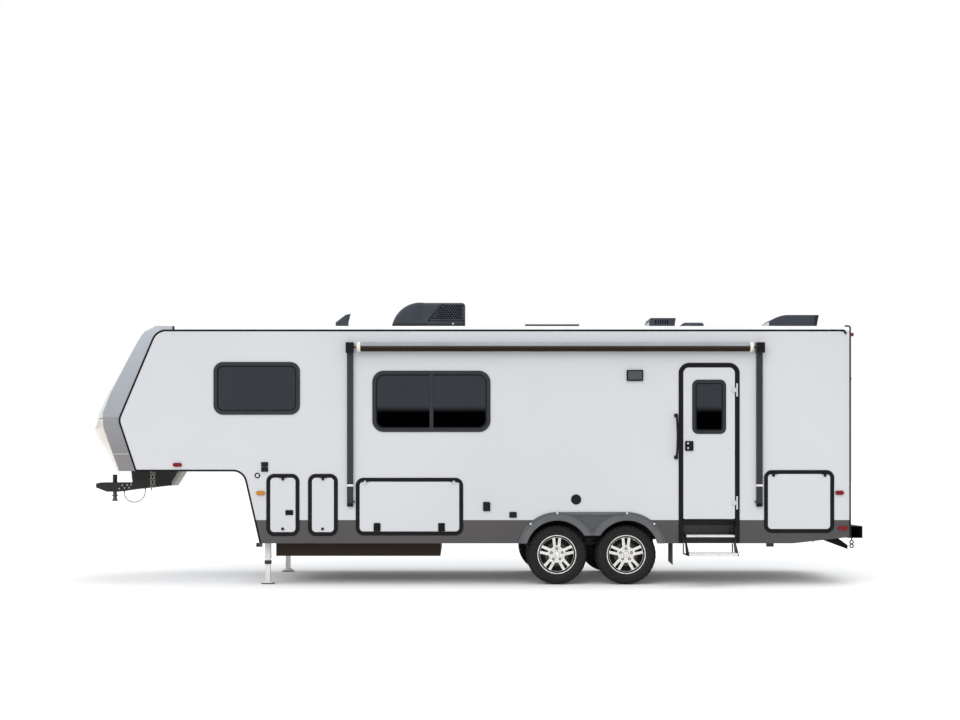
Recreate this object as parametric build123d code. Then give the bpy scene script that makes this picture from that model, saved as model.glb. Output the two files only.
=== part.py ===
from build123d import *
import os
from math import cos, radians, sin, sqrt

# Fifth wheel travel trailer, parked on its landing legs with its entry step out.
# Stations run rearwards from the trailer's middle, y is negative on the door side, and heights are
# above the ground, in millimetres. At the end the king pin's seat is moved to the origin.

# Body shell
body_width = 2440
wall = 50
rear_x = 4669
eaves = 3104
roof_edge = 56
roof_crown = 62
overhang = 1391
wall_foot = 793
skirt_foot = 509
skirt_thick = 40
rear_foot = 582
chin_x = -4054
nose_x = -4256
nose_z = 2015
brow_x = -3799
cap_lap = 205
neck_top_x = -2742
neck_foot_x = -2540
neck_radius = 160
neck_thick = 24
nose_radius = 150
brow_radius = 170
half = body_width / 2
inner = half - wall
roof_front_x = brow_x + cap_lap
skirt_rise_length = 657
skirt_block_depth = 20
# small blocks under each skirt: station from, station to, height of the foot and of the top
skirt_blocks = [
    (-2590, -2515, 465, 514),
    (3641, 3730, 467, 514),
]

# Front cap, a moulded shell drawn as level sections
cap_wall = 40
crease_inset = 90
cap_nose_drop = 90
cap_margin = 10
# level: 0 at the overhang, 1 at the nose, 2 at the eaves, 3 just over the roof;
# crease: how far the creases stand before the walls' front edge; middle: how far it stands before them
cap_levels = [
    (0.0, 227, 278),
    (0.5, 238, 312),
    (1.0, 245, 388),
    (1.15, 262, 350),
    (1.35, 268, 285),
    (1.77, 219, 255),
    (1.92, 192, 235),
    (2.0, 165, 215),
    (2.4, 78, 170),
    (3.0, 20, 110),
]

# Floors and chassis
floor_thick = 53
basement_floor = 600
basement_thick = 40
deck_thick = 80
riser_x = 0
riser_thick = 50
rail_inset = 420
rail_width = 100
rail_height = 200
rail_plate = 10
rail_flange = 16
rail_rise_length = 500
rail_tail = 20
drop_rail_foot = 515
drop_rail_x = 200
cross_start = 150
cross_pitch = 640
cross_thick = 60
cross_depth = 120
outrigger_root = 140
outrigger_tip = 60
# stations of the floor outriggers on the far side and the door side
far_outriggers = (350, 2700, 3300, 3950)
door_outriggers = (350, 3400, 3950)
pan_x = (-2379, -342)
pan_inset = 270
pan_foot = 338
pan_plate = 8
rail_y = half - rail_inset
pan_half = half - pan_inset

# Running gear
tyre_radius = 369
tyre_width = 225
wheel_inset = 168
axle_x = (1085, 1934)
axle_radius = 38
spindle_radius = 22
spindle_reach = 20
hub_clearance = 0.05
rim_radius = 238
bead_radius = 216
rim_wall = 7
rim_lip = 7
rim_flat = 17
rim_slope = 14
drum_radius = 150
drum_back = 66
drum_gap = 6
drum_plate = 8
drum_face = 30
drum_step = 4
hub_neck_radius = 76
spoke_pairs = 5
spoke_thick = 34
spoke_set_back = 18
spoke_half_root = 44
spoke_half_tip = 54
slot_half_root = 10
slot_half_tip = 20
slot_root = 112
spoke_ring = 3
hub_radius = 92
hub_cap_radius = 39
hub_cap_proud = 10
hub_cap_edge = 4
nut_circle = 70
nut_seat_radius = 17
nut_seat_depth = 6
tyre_bead_inset = 14
tyre_shoulder = 22
tyre_shoulder_drop = 14
tyre_crown = 5
tread_grooves = (-54, -18, 18, 54)
tread_groove_width = 11
tread_groove_depth = 8
spring_half = 330
spring_width = 60
spring_leaf = 26
spring_sag = 62
eye_radius = 22
eye_clear = 8
hanger_plate = 8
hanger_half = 45
hanger_clear = 2
rocker_half = 34
rocker_boss = 30
spring_seat_half = 50
arch_rise = 35
arch_radius = 385
flare_reach = 102
flare_lip = 72
flare_proud = 42
web_proud = 16
web_recess = 9
web_recess_edge = 38
flare_middle_foot = 606
well_inset = 370
well_top = 872
well_drop = 80
well_plate = 12
flap_x = 2494
flap_foot = 244
flap_slant = 26
flap_thick = 8
wheel_y = half - wheel_inset
arch_z = tyre_radius + arch_rise
arch_cut_radius = arch_radius + flare_reach / 3
well_inner_y = half - well_inset

# Pin box, king pin and landing legs
king_pin_x = -4613
coupler_height = 1120
pin_neck_radius = 25.4
pin_flange_radius = 36
pin_collar_radius = 40
pin_collar_drop = 45
pin_collar = 13
pin_length = 123
pin_flange = 20
pin_post_radius = 28
pin_post_height = 221
pin_box_half = 210
pin_box_top_x = (-4352, -3753)
pin_box_foot_x = (-4325, -3870)
pin_box_foot_rise = (31, 80)
pin_arm_half = 150
pin_arm_height = 120
pin_head_half = 70
pin_lip_reach = 210
pin_lip_foot = 55
pin_lip_slope = 150
pin_plate = 14
pin_brace_half = 150
pin_brace_reach = 58
gland_radius = 9
gland_length = 12
cable_radius = 5
cable_y = -140
# the hanging cable's route: station and height over the coupler
cable_route = [
    (-4456, 0),
    (-4456, -46),
    (-4432, -92),
    (-4388, -126),
    (-4328, -138),
    (-4268, -126),
    (-4218, -90),
    (-4184, -30),
    (-4184, 34),
]
# share of the shorter run that each of its bends takes up
cable_bend = 0.45
leg_x = -2470
leg_inset = 210
leg_tube = 70
leg_tube_foot = 318
leg_collar_foot = 246
leg_collar_height = 44
leg_collar_proud = 3
leg_inner = 60
leg_pin_radius = 8
leg_pin_reach = 14
leg_pin_height = 12
leg_foot_radius = 86
leg_foot_height = 46
leg_foot_plate = 8
leg_neck_radius = 39
leg_y = half - leg_inset

# Openings in the walls: outer frame edges and corner radius
frame_lap = 24
frame_proud = 10
frame_edge = 4
seat_gap = 0.3
door_gap = 6
locker_band = 42
locker_radius = 95
locker_thick = 44
leaf_proud = 4
leaf_edge = 3
knuckle_radius = 7
knuckle_leaf = 35
knuckle_lap = 6
entry_knuckle = 9
hinge_inset = 72
hinge_length = 84
narrow_locker = 600
window_band = 46
window_proud = 14
glass = 6
glass_proud = 4
mullion = 45
mullion_back = 3
mullion_depth = 31
entry_band = 52
entry_radius = 128
entry_thick = 46
entry_foot_radius = 18
entry_sill_proud = 12
entry_ring_band = 42
entry_ring_proud = 8
# side, x from, x to, z from, z to
lockers = {
    "front_locker_door": (-1, -2463, -2059, 598, 1357),
    "utility_locker_door": (-1, -1955, -1591, 598, 1357),
    "pass_through_door": (-1, -1373, -62, 606, 1309),
    "rear_locker_door": (-1, 3607, 4462, 636, 1403),
    "far_pass_through_door": (1, -1373, -62, 606, 1309),
}
# paddle latches on the locker doors: x from, x to, z from, z to
paddle_proud = 16
paddle_radius = 10
paddle_pad = 9
paddles = {
    "front_locker_door": [(-2230, -2135, 854, 915)],
    "utility_locker_door": [],
    "pass_through_door": [(-1155, -1070, 656, 758), (-368, -285, 656, 758)],
    "rear_locker_door": [],
    "far_pass_through_door": [(-1155, -1070, 656, 758), (-368, -285, 656, 758)],
}
# turn catches on the small lockers: station and height over the door's foot
catch_radius = 17
catch_proud = 14
catch_rise = 40
catches = {"front_locker_door": -2263, "utility_locker_door": -1777}
# side, x from, x to, z from, z to, corner radius, mullion station or None
windows = [
    (-1, -3107, -2053, 2078, 2721, 117, None),
    (-1, -1171, 270, 1867, 2614, 140, -449),
    (1, -3107, -2053, 2078, 2721, 117, None),
]
entry_x = (2565, 3309)
entry_z = (780, 2711)
entry_sill = 806
entry_window = (2729, 3144, 1842, 2506, 75)
entry_hinge_z = (1004, 2379)
entry_hinge_length = 158
entry_hinge_inset = 34
entry_strap_reach = 66
entry_strap_thick = 8
latch_x = (2642, 2744)
latch_z = (1637, 1757)
latch_proud = 16
latch_paddle_proud = 34
latch_paddle_inset = 22
latch_radius = 12
grab_x = 2533
grab_z = (1558, 2068)
grab_radius = 14
grab_stand = 62
grab_bow = 12
grab_foot_radius = 26
grab_foot_thick = 8

# Slide-out room on the far side
slide_x = (330, 3240)
slide_z = (940, 2760)
slide_gap = 14
slide_depth = 850
slide_wall = 45
slide_flange = 45
slide_flange_thick = 30
slide_window = (1150, 2420, 1700, 2420, 120)
runner_width = 90
runner_clear = 60
slide_corner = 2

# Awning
arm_x = (-1440, 3546)
arm_width = 73
arm_depth = 46
arm_edge = 8
arm_foot = 958
collar_z = (1204, 1228)
collar_proud = 3
knob_radius = 11
knob_reach = 20
knob_rise = 60
roller_radius = 56
roller_z = 2899
roller_y = 76
roller_end = 88
roller_cap = 43
roller_cap_proud = 4
roller_cap_edge = 18
roller_shaft = 12
head_width = 94
head_depth = 120
head_drop = 72
head_rise = 54
head_edge = 14

# Roof equipment: station from, station to, height over the roof's edges
cooler_x = (-972, -30)
cooler_height = 392
cooler_width = 680
cooler_wall = 98
cooler_nose = 424
cooler_nose_mid = (141, 70)
cooler_back_radius = 45
cooler_edge = 30
# the grille in each side: inset from the rear, width at the top and the foot, heights under the top
grille_inset = 38
grille_width = (250, 404)
grille_drop = (26, 218)
grille_depth = 8
groove_width = 10
groove_gap = 34
rear_vent_x = (3849, 4546)
rear_vent_height = 248
rear_vent_nose = 285
rear_vent_mid = (100, 55)
rear_vent_wall = 110
rear_vent_lean = 48
fan_vent_x = (2297, 2694)
fan_vent_height = 209
fan_vent_slope = 71
fan_vent_lean = 28
louvres = 6
louvre_x = (2428, 2596)
louvre_drop = (26, 82)
louvre_width = 13
louvre_depth = 9
dome_x = (2737, 3060)
dome_height = 148
dome_wall = 60
skylight_x = (750, 1443)
skylight_height = 157
skylight_lid = 58
skylight_lap = 16
skylight_edge = 20
roof_piece_width = 420
fin_x = (-1812, -1530)
fin_height = 284
fin_thick = 46
fin_tip = 14
fin_root = 212
fin_edge = 6
stub_x = -3582
stub_radius = 16
stub_height = 62

# Lamps and small fittings on the walls
lamp_proud = 24
# side, x from, x to, z from, z to
red_lamps = [
    (-1, -3602, -3493, 1443, 1491),
    (-1, 4474, 4578, 1100, 1152),
    (-1, 4511, 4627, 669, 721),
    (1, -3602, -3493, 1443, 1491),
    (1, 4474, 4578, 1100, 1152),
    (1, 4511, 4627, 669, 721),
]
amber_lamp_x = (-2587, -2480)
amber_lamp_z = (1096, 1149)
lamp_edge = 6
marker_inset = 90
marker_pitch = 150
marker_size = (44, 110, 40)
marker_z = 3040
tail_lamp_inset = 210
tail_lamp_z = (980, 1240)
tail_lamp_width = 110
# boxes on the door side: x from, x to, z from, z to, proud, inset and proud of the raised lid
fittings = [
    (1930, 2130, 2489, 2623, 30, 16, 12),
    (180, 267, 902, 1014, 20, 10, 10),
    (500, 590, 822, 892, 20, 9, 8),
    (-2526, -2442, 1444, 1501, 16, 10, 8),
    (-2526, -2442, 1382, 1440, 16, 10, 8),
]
fitting_radius = 8
fitting_edge = 4
# round ports on the door side: x, z, radius, inner radius, proud of the rim and of the middle
ports = [
    (1315, 1044, 62, 40, 10, 16),
    (-2572, 1337, 33, 19, 12, 5),
]

# Entry step, bumper and rear stabilizers
step_x = (2620, 3216)
step_plate = 8
step_back = 920
step_back_foot = 600
step_tread_z = (616, 411)
step_tread_front = (200, 390)
step_tread_depth = 184
step_tread_thick = 34
step_tread_plate = 4
step_arm = 36
step_beam = 40
bumper_x = (4669, 4838)
bumper_z = (569, 716)
bumper_inset = 100
bumper_plate = 6
tow_ring_inset = 220
tow_ring_x = 70
tow_ring_radius = 27
tow_ring_wire = 6
tow_ring_drop = (56, 104)
jack_x = (4398, 4735)
jack_root = 30
jack_joint_x = 4560
jack_foot = 420
jack_tip = 46
jack_width = 90
bumper_half = half - bumper_inset
marker_y = half - marker_inset
tail_lamp_y = half - tail_lamp_inset


def block(x, y, z):
    """A box between two stations, two widths and two heights."""
    spans = [sorted(pair) for pair in (x, y, z)]
    centre = [(low + high) / 2 for low, high in spans]
    return Pos(*centre) * Box(*[high - low for low, high in spans])


def panel(outline, y):
    """An outline drawn in stations and heights, made solid between two widths."""
    low, high = sorted(y)
    return extrude(Plane.XZ.offset(-high) * outline, amount=high - low)


def rod(start, end, radius):
    """A round bar between two points."""
    run = Vector(*end) - Vector(*start)
    bar = Cylinder(radius, run.length, align=(Align.CENTER, Align.CENTER, Align.MIN))
    return Plane(origin=start, z_dir=run.normalized()) * bar


def polygon(*points):
    return make_face(Polyline(*points, close=True))


def round_corner(face, point, radius):
    """The face with its corner nearest to a point rounded."""
    corner = face.vertices().sort_by_distance((*point, 0))[0]
    return fillet(corner, radius)


def rounded(x, z, radius, inset=0):
    """A rounded rectangle between two stations and two heights, drawn in by an inset."""
    shape = RectangleRounded(x[1] - x[0] - 2 * inset, z[1] - z[0] - 2 * inset, max(radius - inset, 2))
    return Pos((x[0] + x[1]) / 2, (z[0] + z[1]) / 2) * shape


def other_side(shape):
    return mirror(shape, about=Plane.XZ)


def both_sides(shape):
    return [shape, other_side(shape)]


def on_side(side, shape):
    """A shape made for the door side, put on that side or the far side."""
    return shape if side < 0 else other_side(shape)


def neck_x(z):
    """Station of the slanted neck wall's outer face at a height."""
    return neck_top_x + (overhang - z) * (neck_foot_x - neck_top_x) / (overhang - skirt_foot)


def wall_front_x(z):
    """Station of the side walls' front edge at a height."""
    if z < nose_z:
        return chin_x + (z - overhang) * (nose_x - chin_x) / (nose_z - overhang)
    return nose_x + (z - nose_z) * (brow_x - nose_x) / (eaves - nose_z)


# Side walls, skirts and neck
def wall_outline():
    back = rear_x - wall
    face = polygon(
        (chin_x, overhang),
        (nose_x, nose_z),
        (brow_x, eaves),
        (back, eaves),
        (back, wall_foot),
        (neck_x(wall_foot), wall_foot),
        (neck_top_x, overhang),
    )
    face = round_corner(face, (nose_x, nose_z), nose_radius)
    face = round_corner(face, (brow_x, eaves), brow_radius)
    return round_corner(face, (neck_top_x, overhang), neck_radius)


def wheel_circles(radius):
    return Pos(axle_x[0], arch_z) * Circle(radius) + Pos(axle_x[1], arch_z) * Circle(radius)


def arch_shape(radius):
    """Two wheel arches of a radius, joined between the axles."""
    middle = Pos(sum(axle_x) / 2, arch_z) * Rectangle(axle_x[1] - axle_x[0], 2 * radius)
    return wheel_circles(radius) + middle


def opening_cut(x, z, radius):
    """The hole that a frame's sleeve fills."""
    return rounded(x, z, radius, frame_lap)


def skirt_outline():
    back = rear_x - wall
    rise_x = back - skirt_rise_length
    return polygon(
        (neck_x(wall_foot), wall_foot),
        (neck_x(skirt_foot), skirt_foot),
        (rise_x, skirt_foot),
        (back, rear_foot),
        (back, wall_foot),
    )


def side_wall(side):
    outline = wall_outline() - arch_shape(arch_cut_radius)
    for where, x0, x1, z0, z1 in lockers.values():
        if where == side:
            outline -= opening_cut((x0, x1), (z0, z1), locker_radius)
    for where, x0, x1, z0, z1, radius, _ in windows:
        if where == side:
            outline -= opening_cut((x0, x1), (z0, z1), radius)
    if side < 0:
        outline -= opening_cut(entry_x, (0, entry_z[1]), entry_radius)
    else:
        outline -= rounded(slide_x, slide_z, slide_corner)
    return on_side(side, panel(outline, (-half, -inner)))


def skirt(side):
    outline = skirt_outline() - arch_shape(arch_cut_radius)
    for where, x0, x1, z0, z1 in lockers.values():
        if where == side:
            outline -= opening_cut((x0, x1), (z0, z1), locker_radius)
    if side < 0:
        outline -= opening_cut(entry_x, (0, entry_z[1]), entry_radius)
    sheet = panel(outline, (-half, -half + skirt_thick))
    for x0, x1, z0, z1 in skirt_blocks:
        sheet += block((x0, x1), (-half + skirt_thick - skirt_block_depth, -half + skirt_thick), (z0, z1))
    return on_side(side, sheet)


def neck_lean():
    """Thickness of the slanted neck wall, measured level."""
    return neck_thick * sqrt(1 + ((neck_foot_x - neck_top_x) / (overhang - skirt_foot)) ** 2)


def neck_wall():
    lean = neck_lean()
    upper = overhang + neck_thick
    face = polygon(
        (chin_x, overhang),
        (neck_top_x, overhang),
        (neck_x(skirt_foot), skirt_foot),
        (neck_x(skirt_foot) + lean, skirt_foot),
        (neck_x(upper) + lean, upper),
        (chin_x, upper),
    )
    face = round_corner(face, (neck_top_x, overhang), neck_radius)
    face = round_corner(face, (neck_x(upper) + lean, upper), neck_radius + neck_thick)
    return panel(face, (-inner, inner))


# Roof, front cap and rear wall
def roof_arc(drop):
    """The roof's cross section as a line across the trailer, a given drop under its outer skin."""
    edge = eaves + roof_edge - drop
    return ThreePointArc((-half, edge), (0, edge + roof_crown), (half, edge))


def under_roof(drop, x):
    """Everything under the roof's arc between two stations."""
    arc = roof_arc(drop)
    face = make_face([arc, Polyline(arc @ 1, (half, 0), (-half, 0), arc @ 0)])
    return extrude(Plane.YZ.offset(x[0]) * face, amount=x[1] - x[0])


def roof():
    top, low = roof_arc(0), roof_arc(roof_edge)
    face = make_face([top, low, Line(top @ 0, low @ 0), Line(top @ 1, low @ 1)])
    return extrude(Plane.YZ.offset(roof_front_x) * face, amount=rear_x - roof_front_x)


def rear_wall():
    whole = under_roof(roof_edge, (rear_x - wall, rear_x))
    return whole - block((rear_x - wall, rear_x), (-half, half), (0, rear_foot))


def level_height(level):
    """Height of one of the front cap's level sections."""
    stops = (overhang, nose_z - cap_nose_drop, eaves, eaves + roof_edge + roof_crown + cap_margin)
    stop = min(int(level), len(stops) - 2)
    return stops[stop] + (level - stop) * (stops[stop + 1] - stops[stop])


def cap_section(z, reach, bulge, inset, back):
    """One level section of the front cap, from the back edge round the creases and the nose."""
    side, crease = half - inset, half - crease_inset - inset
    edge_x = wall_front_x(z) + inset
    crease_x = edge_x - reach
    front = ThreePointArc((crease_x, -crease), (crease_x - bulge, 0), (crease_x, crease))
    rest = Polyline(
        front @ 1, (edge_x, side), (back, side), (back, -side), (edge_x, -side), front @ 0
    )
    return Pos(0, 0, z) * make_face([front, rest])


def cap_form(inset, back):
    sections = []
    for level, reach, bulge in cap_levels:
        z = level_height(level) + (0 if level else inset)
        sections.append(cap_section(z, reach, bulge, inset, back))
    form = loft(sections, ruled=True)
    front = form.bounding_box().min.X - cap_margin
    return form & under_roof(roof_edge if inset else 0, (front, back))


def front_cap():
    outer = cap_form(0, roof_front_x)
    cap = outer - cap_form(cap_wall, roof_front_x + cap_margin)
    side = panel(wall_outline(), (-half, -inner))
    low = block((chin_x, roof_front_x + cap_margin), (-inner, inner), (0, overhang + cap_wall + cap_margin))
    return cap - side - other_side(side) - low


# Floors and chassis
def floor_decks():
    """The main floor, the bed deck, the storage floor and the riser between them, each its own board."""
    top, low = wall_foot, basement_floor - basement_thick
    x_front = neck_x(low) + neck_lean()
    x_main = riser_x + riser_thick + seat_gap
    main = block((x_main, rear_x - wall), (-inner, inner), (top - floor_thick, top))
    for side in (-1, 1):
        main -= block(well_x(), (side * inner, side * well_inner_y), (top - floor_thick, top))
    bed_z = overhang + neck_thick
    bed = block((chin_x + cap_wall, riser_x + riser_thick), (-inner, inner), (bed_z, bed_z + deck_thick))
    storage = block((x_front, riser_x - seat_gap), (-inner, inner), (low, basement_floor))
    riser = block((riser_x, riser_x + riser_thick), (-inner, inner), (low, bed_z - seat_gap))
    return [main, bed, storage, riser]


def basement_pan():
    """The dark sheet-metal tray under the storage floor."""
    top = basement_floor - basement_thick
    tray = block(pan_x, (-pan_half, pan_half), (pan_foot, top))
    inside = block(
        (pan_x[0] + pan_plate, pan_x[1] - pan_plate),
        (-pan_half + pan_plate, pan_half - pan_plate),
        (pan_foot + pan_plate, top),
    )
    return tray - inside


def well_x():
    return (axle_x[0] - arch_cut_radius, axle_x[1] + arch_cut_radius)


def wheel_well():
    x0, x1 = well_x()
    foot = wall_foot - floor_thick - well_drop
    outer = block((x0, x1), (-inner, -well_inner_y), (foot, well_top))
    gap = well_plate
    space = block((x0 + gap, x1 - gap), (-inner, -well_inner_y - gap), (foot, well_top - gap))
    return outer - space


def rail_foot(x):
    """Height of the rails' lower edge over their rising rear end."""
    back = rear_x - wall
    rise = rear_foot + rail_tail - (wall_foot - floor_thick - rail_height)
    return rear_foot + rail_tail - rise * (back - x) / rail_rise_length


def rail():
    """One drop-frame I-beam of the chassis, along the door side."""
    top = wall_foot - floor_thick
    under_basement = basement_floor - basement_thick
    front = pan_x[1] + seat_gap
    back = rear_x - wall
    outline = [
        (front, under_basement),
        (riser_x + riser_thick, under_basement),
        (riser_x + riser_thick, top),
        (back, top),
        (back, rail_foot(back)),
        (back - rail_rise_length, top - rail_height),
        (drop_rail_x, top - rail_height),
        (drop_rail_x, drop_rail_foot),
        (front, drop_rail_foot),
    ]
    whole = panel(polygon(*outline), (-rail_y - rail_width / 2, -rail_y + rail_width / 2))
    face = offset(polygon(*outline), -rail_flange)
    recess = (rail_width - rail_plate) / 2
    for y in (-rail_y - rail_width / 2, -rail_y + rail_width / 2):
        step = recess if y < -rail_y else -recess
        whole -= panel(face, (y, y + step))
    return whole


def recess_reach():
    return (rail_width - rail_plate) / 2


def chassis_frame():
    top = wall_foot - floor_thick
    frame = rail() + other_side(rail())
    inside = rail_y - rail_width / 2 + recess_reach()
    x = drop_rail_x + cross_start
    while x < rear_x - wall - cross_thick:
        frame += block((x, x + cross_thick), (-inside, inside), (top - cross_depth, top))
        x += cross_pitch
    root = rail_y + rail_width / 2 - recess_reach()
    tip = inner - door_gap
    arm = polygon((root, top), (tip, top), (tip, top - outrigger_tip), (root, top - outrigger_root))
    for side, stations in ((1, far_outriggers), (-1, door_outriggers)):
        for x in stations:
            bracket = extrude(Plane.YZ.offset(x) * arm, amount=cross_thick)
            frame += bracket if side > 0 else other_side(bracket)
    for x in hanger_stations():
        for side in (-1, 1):
            frame += on_side(side, hanger(x))
    return frame


def hanger_stations():
    return (
        axle_x[0] - spring_half,
        sum(axle_x) / 2,
        axle_x[1] + spring_half,
    )


def spring_eye_z():
    return tyre_radius + axle_radius + spring_leaf + spring_sag


def hanger(x):
    """Two plates under a rail that hold a spring eye's bolt."""
    top = wall_foot - floor_thick - rail_height
    foot = spring_eye_z() - eye_radius - eye_clear
    gap = spring_width / 2 + hanger_clear
    plates = None
    for y in (-rail_y - gap - hanger_plate, -rail_y + gap):
        plate = block((x - hanger_half, x + hanger_half), (y, y + hanger_plate), (foot, top))
        plates = plate if plates is None else plates + plate
    bolt = rod(
        (x, -rail_y - gap - hanger_plate, spring_eye_z()),
        (x, -rail_y + gap + hanger_plate, spring_eye_z()),
        eye_radius / 2,
    )
    return plates + bolt


def leaf_spring(x, held_eye):
    """One leaf pack over an axle, sagging between its two eyes."""
    low = tyre_radius + axle_radius
    eye_z = spring_eye_z()
    ends = (x - spring_half, x + spring_half)
    arcs = []
    for end_z, mid_z in ((eye_z - spring_leaf / 2, low), (eye_z + spring_leaf / 2, low + spring_leaf)):
        arcs.append(ThreePointArc((ends[0], end_z), (x, mid_z), (ends[1], end_z)))
    lower, upper = arcs
    face = make_face([lower, upper, Line(lower @ 0, upper @ 0), Line(lower @ 1, upper @ 1)])
    span = (-rail_y - spring_width / 2, -rail_y + spring_width / 2)
    spring = panel(face, span)
    for eye_x in ends:
        spring += panel(Pos(eye_x, eye_z) * Circle(eye_radius), span)
    bore = panel(Pos(held_eye, eye_z) * Circle(eye_radius / 2 + seat_gap), span)
    return spring - bore


def equalizer():
    """The rocker that joins the two springs of one side at the middle hanger."""
    middle = sum(axle_x) / 2
    eye_z = spring_eye_z()
    ends = (axle_x[0] + spring_half, axle_x[1] - spring_half)
    face = polygon(
        (ends[0], eye_z), (middle, eye_z + rocker_half), (ends[1], eye_z), (middle, eye_z - rocker_half)
    )
    face += Pos(middle, eye_z) * Circle(rocker_boss)
    face -= Pos(middle, eye_z) * Circle(eye_radius / 2 + seat_gap)
    span = (-rail_y - spring_width / 2, -rail_y + spring_width / 2)
    return panel(face, span)


def leaf_springs():
    springs = leaf_spring(axle_x[0], axle_x[0] - spring_half)
    springs += equalizer()
    springs += leaf_spring(axle_x[1], axle_x[1] + spring_half)
    return both_sides(springs)


def axle(x):
    tube_end = wheel_y - drum_back - drum_gap
    tip = wheel_y + spindle_reach
    beam = rod((x, -tube_end, tyre_radius), (x, tube_end, tyre_radius), axle_radius)
    beam += rod((x, -tip, tyre_radius), (x, tip, tyre_radius), spindle_radius)
    for side in (-1, 1):
        start, end = side * (tube_end - drum_plate), side * tube_end
        beam += rod((x, start, tyre_radius), (x, end, tyre_radius), drum_radius)
        seat = block(
            (x - spring_seat_half, x + spring_seat_half),
            (side * (rail_y - spring_width / 2), side * (rail_y + spring_width / 2)),
            (tyre_radius, tyre_radius + axle_radius),
        )
        beam += seat
    return beam


# Wheels
def on_axle(solid, x, side):
    """A wheel piece made round the y axis with its face outwards, put on one end of an axle."""
    return Pos(x, side * wheel_y, tyre_radius) * (other_side(solid) if side < 0 else solid)


def tyre(x, side):
    bead = tyre_width / 2 - tyre_bead_inset
    edge = bead_radius + seat_gap
    flange = rim_radius + seat_gap
    middle = (flange + tyre_radius) / 2
    shoulder = tyre_radius - tyre_shoulder_drop
    wide, tread = tyre_width / 2 - tyre_shoulder, tyre_width / 2 - 2 * tyre_shoulder
    crown = tyre_radius - tyre_crown
    outline = [
        Polyline((flange, -bead), (edge, -bead), (edge, bead), (flange, bead)),
        ThreePointArc((flange, bead), (middle, tyre_width / 2), (shoulder, wide)),
        Line((shoulder, wide), (crown, tread)),
        ThreePointArc((crown, tread), (tyre_radius, 0), (crown, -tread)),
        Line((crown, -tread), (shoulder, -wide)),
        ThreePointArc((shoulder, -wide), (middle, -tyre_width / 2), (flange, -bead)),
    ]
    face = make_face(outline)
    for y in tread_grooves:
        face -= Pos(tyre_radius, y) * Rectangle(2 * tread_groove_depth + tyre_crown, tread_groove_width)
    return on_axle(revolve(face, axis=Axis.Y), x, side)


def spoke_window():
    """The hole between two spoke pairs, drawn about its own middle line."""
    turn = radians(180 / spoke_pairs)
    radius = bead_radius - rim_wall - spoke_ring
    corners = []
    for along, across in (
        (hub_radius, spoke_half_root),
        (sqrt(radius ** 2 - spoke_half_tip ** 2), spoke_half_tip),
    ):
        corners.append((along * cos(turn) + across * sin(turn), along * sin(turn) - across * cos(turn)))
    (x0, y0), (x1, y1) = corners
    sides = Polyline((x1, y1), (x0, y0), (x0, -y0), (x1, -y1))
    return make_face([sides, ThreePointArc((x1, y1), (radius, 0), (x1, -y1))])


def spoke_slot():
    """The slot that splits one spoke pair."""
    tip = sqrt((bead_radius - rim_wall - spoke_ring) ** 2 - slot_half_tip ** 2)
    return polygon(
        (slot_root, -slot_half_root), (tip, -slot_half_tip), (tip, slot_half_tip), (slot_root, slot_half_root)
    )


def rim(x, side):
    bead = tyre_width / 2 - tyre_bead_inset + seat_gap
    lip = bead + rim_lip
    bore = bead_radius - rim_wall
    barrel = polygon(
        (bore, -lip),
        (rim_radius, -lip),
        (rim_radius, -bead),
        (bead_radius, -bead),
        (bead_radius, bead),
        (rim_radius, bead),
        (rim_radius, lip),
        (rim_radius - rim_flat, lip),
        (bore, lip - rim_slope),
    )
    star = Circle(bead_radius - rim_wall / 2)
    step = 360 / spoke_pairs
    for n in range(spoke_pairs):
        star -= Rot(0, 0, 90 + step * (n + 0.5)) * spoke_window()
        star -= Rot(0, 0, 90 + step * n) * spoke_slot()
    face_y = lip - spoke_set_back
    whole = revolve(barrel, axis=Axis.Y)
    whole += extrude(Plane.XZ.offset(-face_y) * star, amount=spoke_thick)
    drum = drum_radius - drum_step
    back = face_y - spoke_thick / 2
    hub = polygon(
        (0, -drum_back),
        (drum, -drum_back),
        (drum, drum_face),
        (hub_neck_radius, drum_face),
        (hub_neck_radius, back),
        (0, back),
    )
    whole += revolve(hub, axis=Axis.Y)
    cap = rod((0, face_y - hub_cap_edge, 0), (0, face_y + hub_cap_proud, 0), hub_cap_radius)
    whole += fillet(cap.edges().sort_by(Axis.Y)[-1], hub_cap_edge)
    for n in range(spoke_pairs):
        angle = radians(90 + step * n)
        nut_x, nut_z = nut_circle * cos(angle), nut_circle * sin(angle)
        whole -= rod((nut_x, face_y - nut_seat_depth, nut_z), (nut_x, lip, nut_z), nut_seat_radius)
    whole -= rod((0, -drum_back, 0), (0, spindle_reach + drum_gap, 0), spindle_radius + hub_clearance)
    return on_axle(whole, x, side)


# Fender flares and mud flaps
def fender_flare():
    """A two-arch flare: a flat web with a sunk middle, and a deeper lip round each wheel."""
    middle, span = sum(axle_x) / 2, axle_x[1] - axle_x[0]
    top = arch_z + arch_radius + flare_reach
    below = Pos(middle, 0) * Rectangle(span + 2 * top, 2 * skirt_foot)
    between = Pos(middle, 0) * Rectangle(span, 2 * flare_middle_foot)
    web = arch_shape(arch_radius + flare_reach) - wheel_circles(arch_radius) - below - between
    lip = wheel_circles(arch_radius + flare_lip) & web
    sunk_z = (flare_middle_foot + web_recess_edge, top - web_recess_edge)
    sunk = Pos(middle, sum(sunk_z) / 2) * Rectangle(span, sunk_z[1] - sunk_z[0])
    sunk -= wheel_circles(arch_radius + flare_lip + web_recess_edge / 2)
    flare = panel(web, (-half - web_proud, -half)) + panel(lip, (-half - flare_proud, -half))
    return flare - panel(sunk, (-half - web_proud, -half - web_proud + web_recess))


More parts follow.
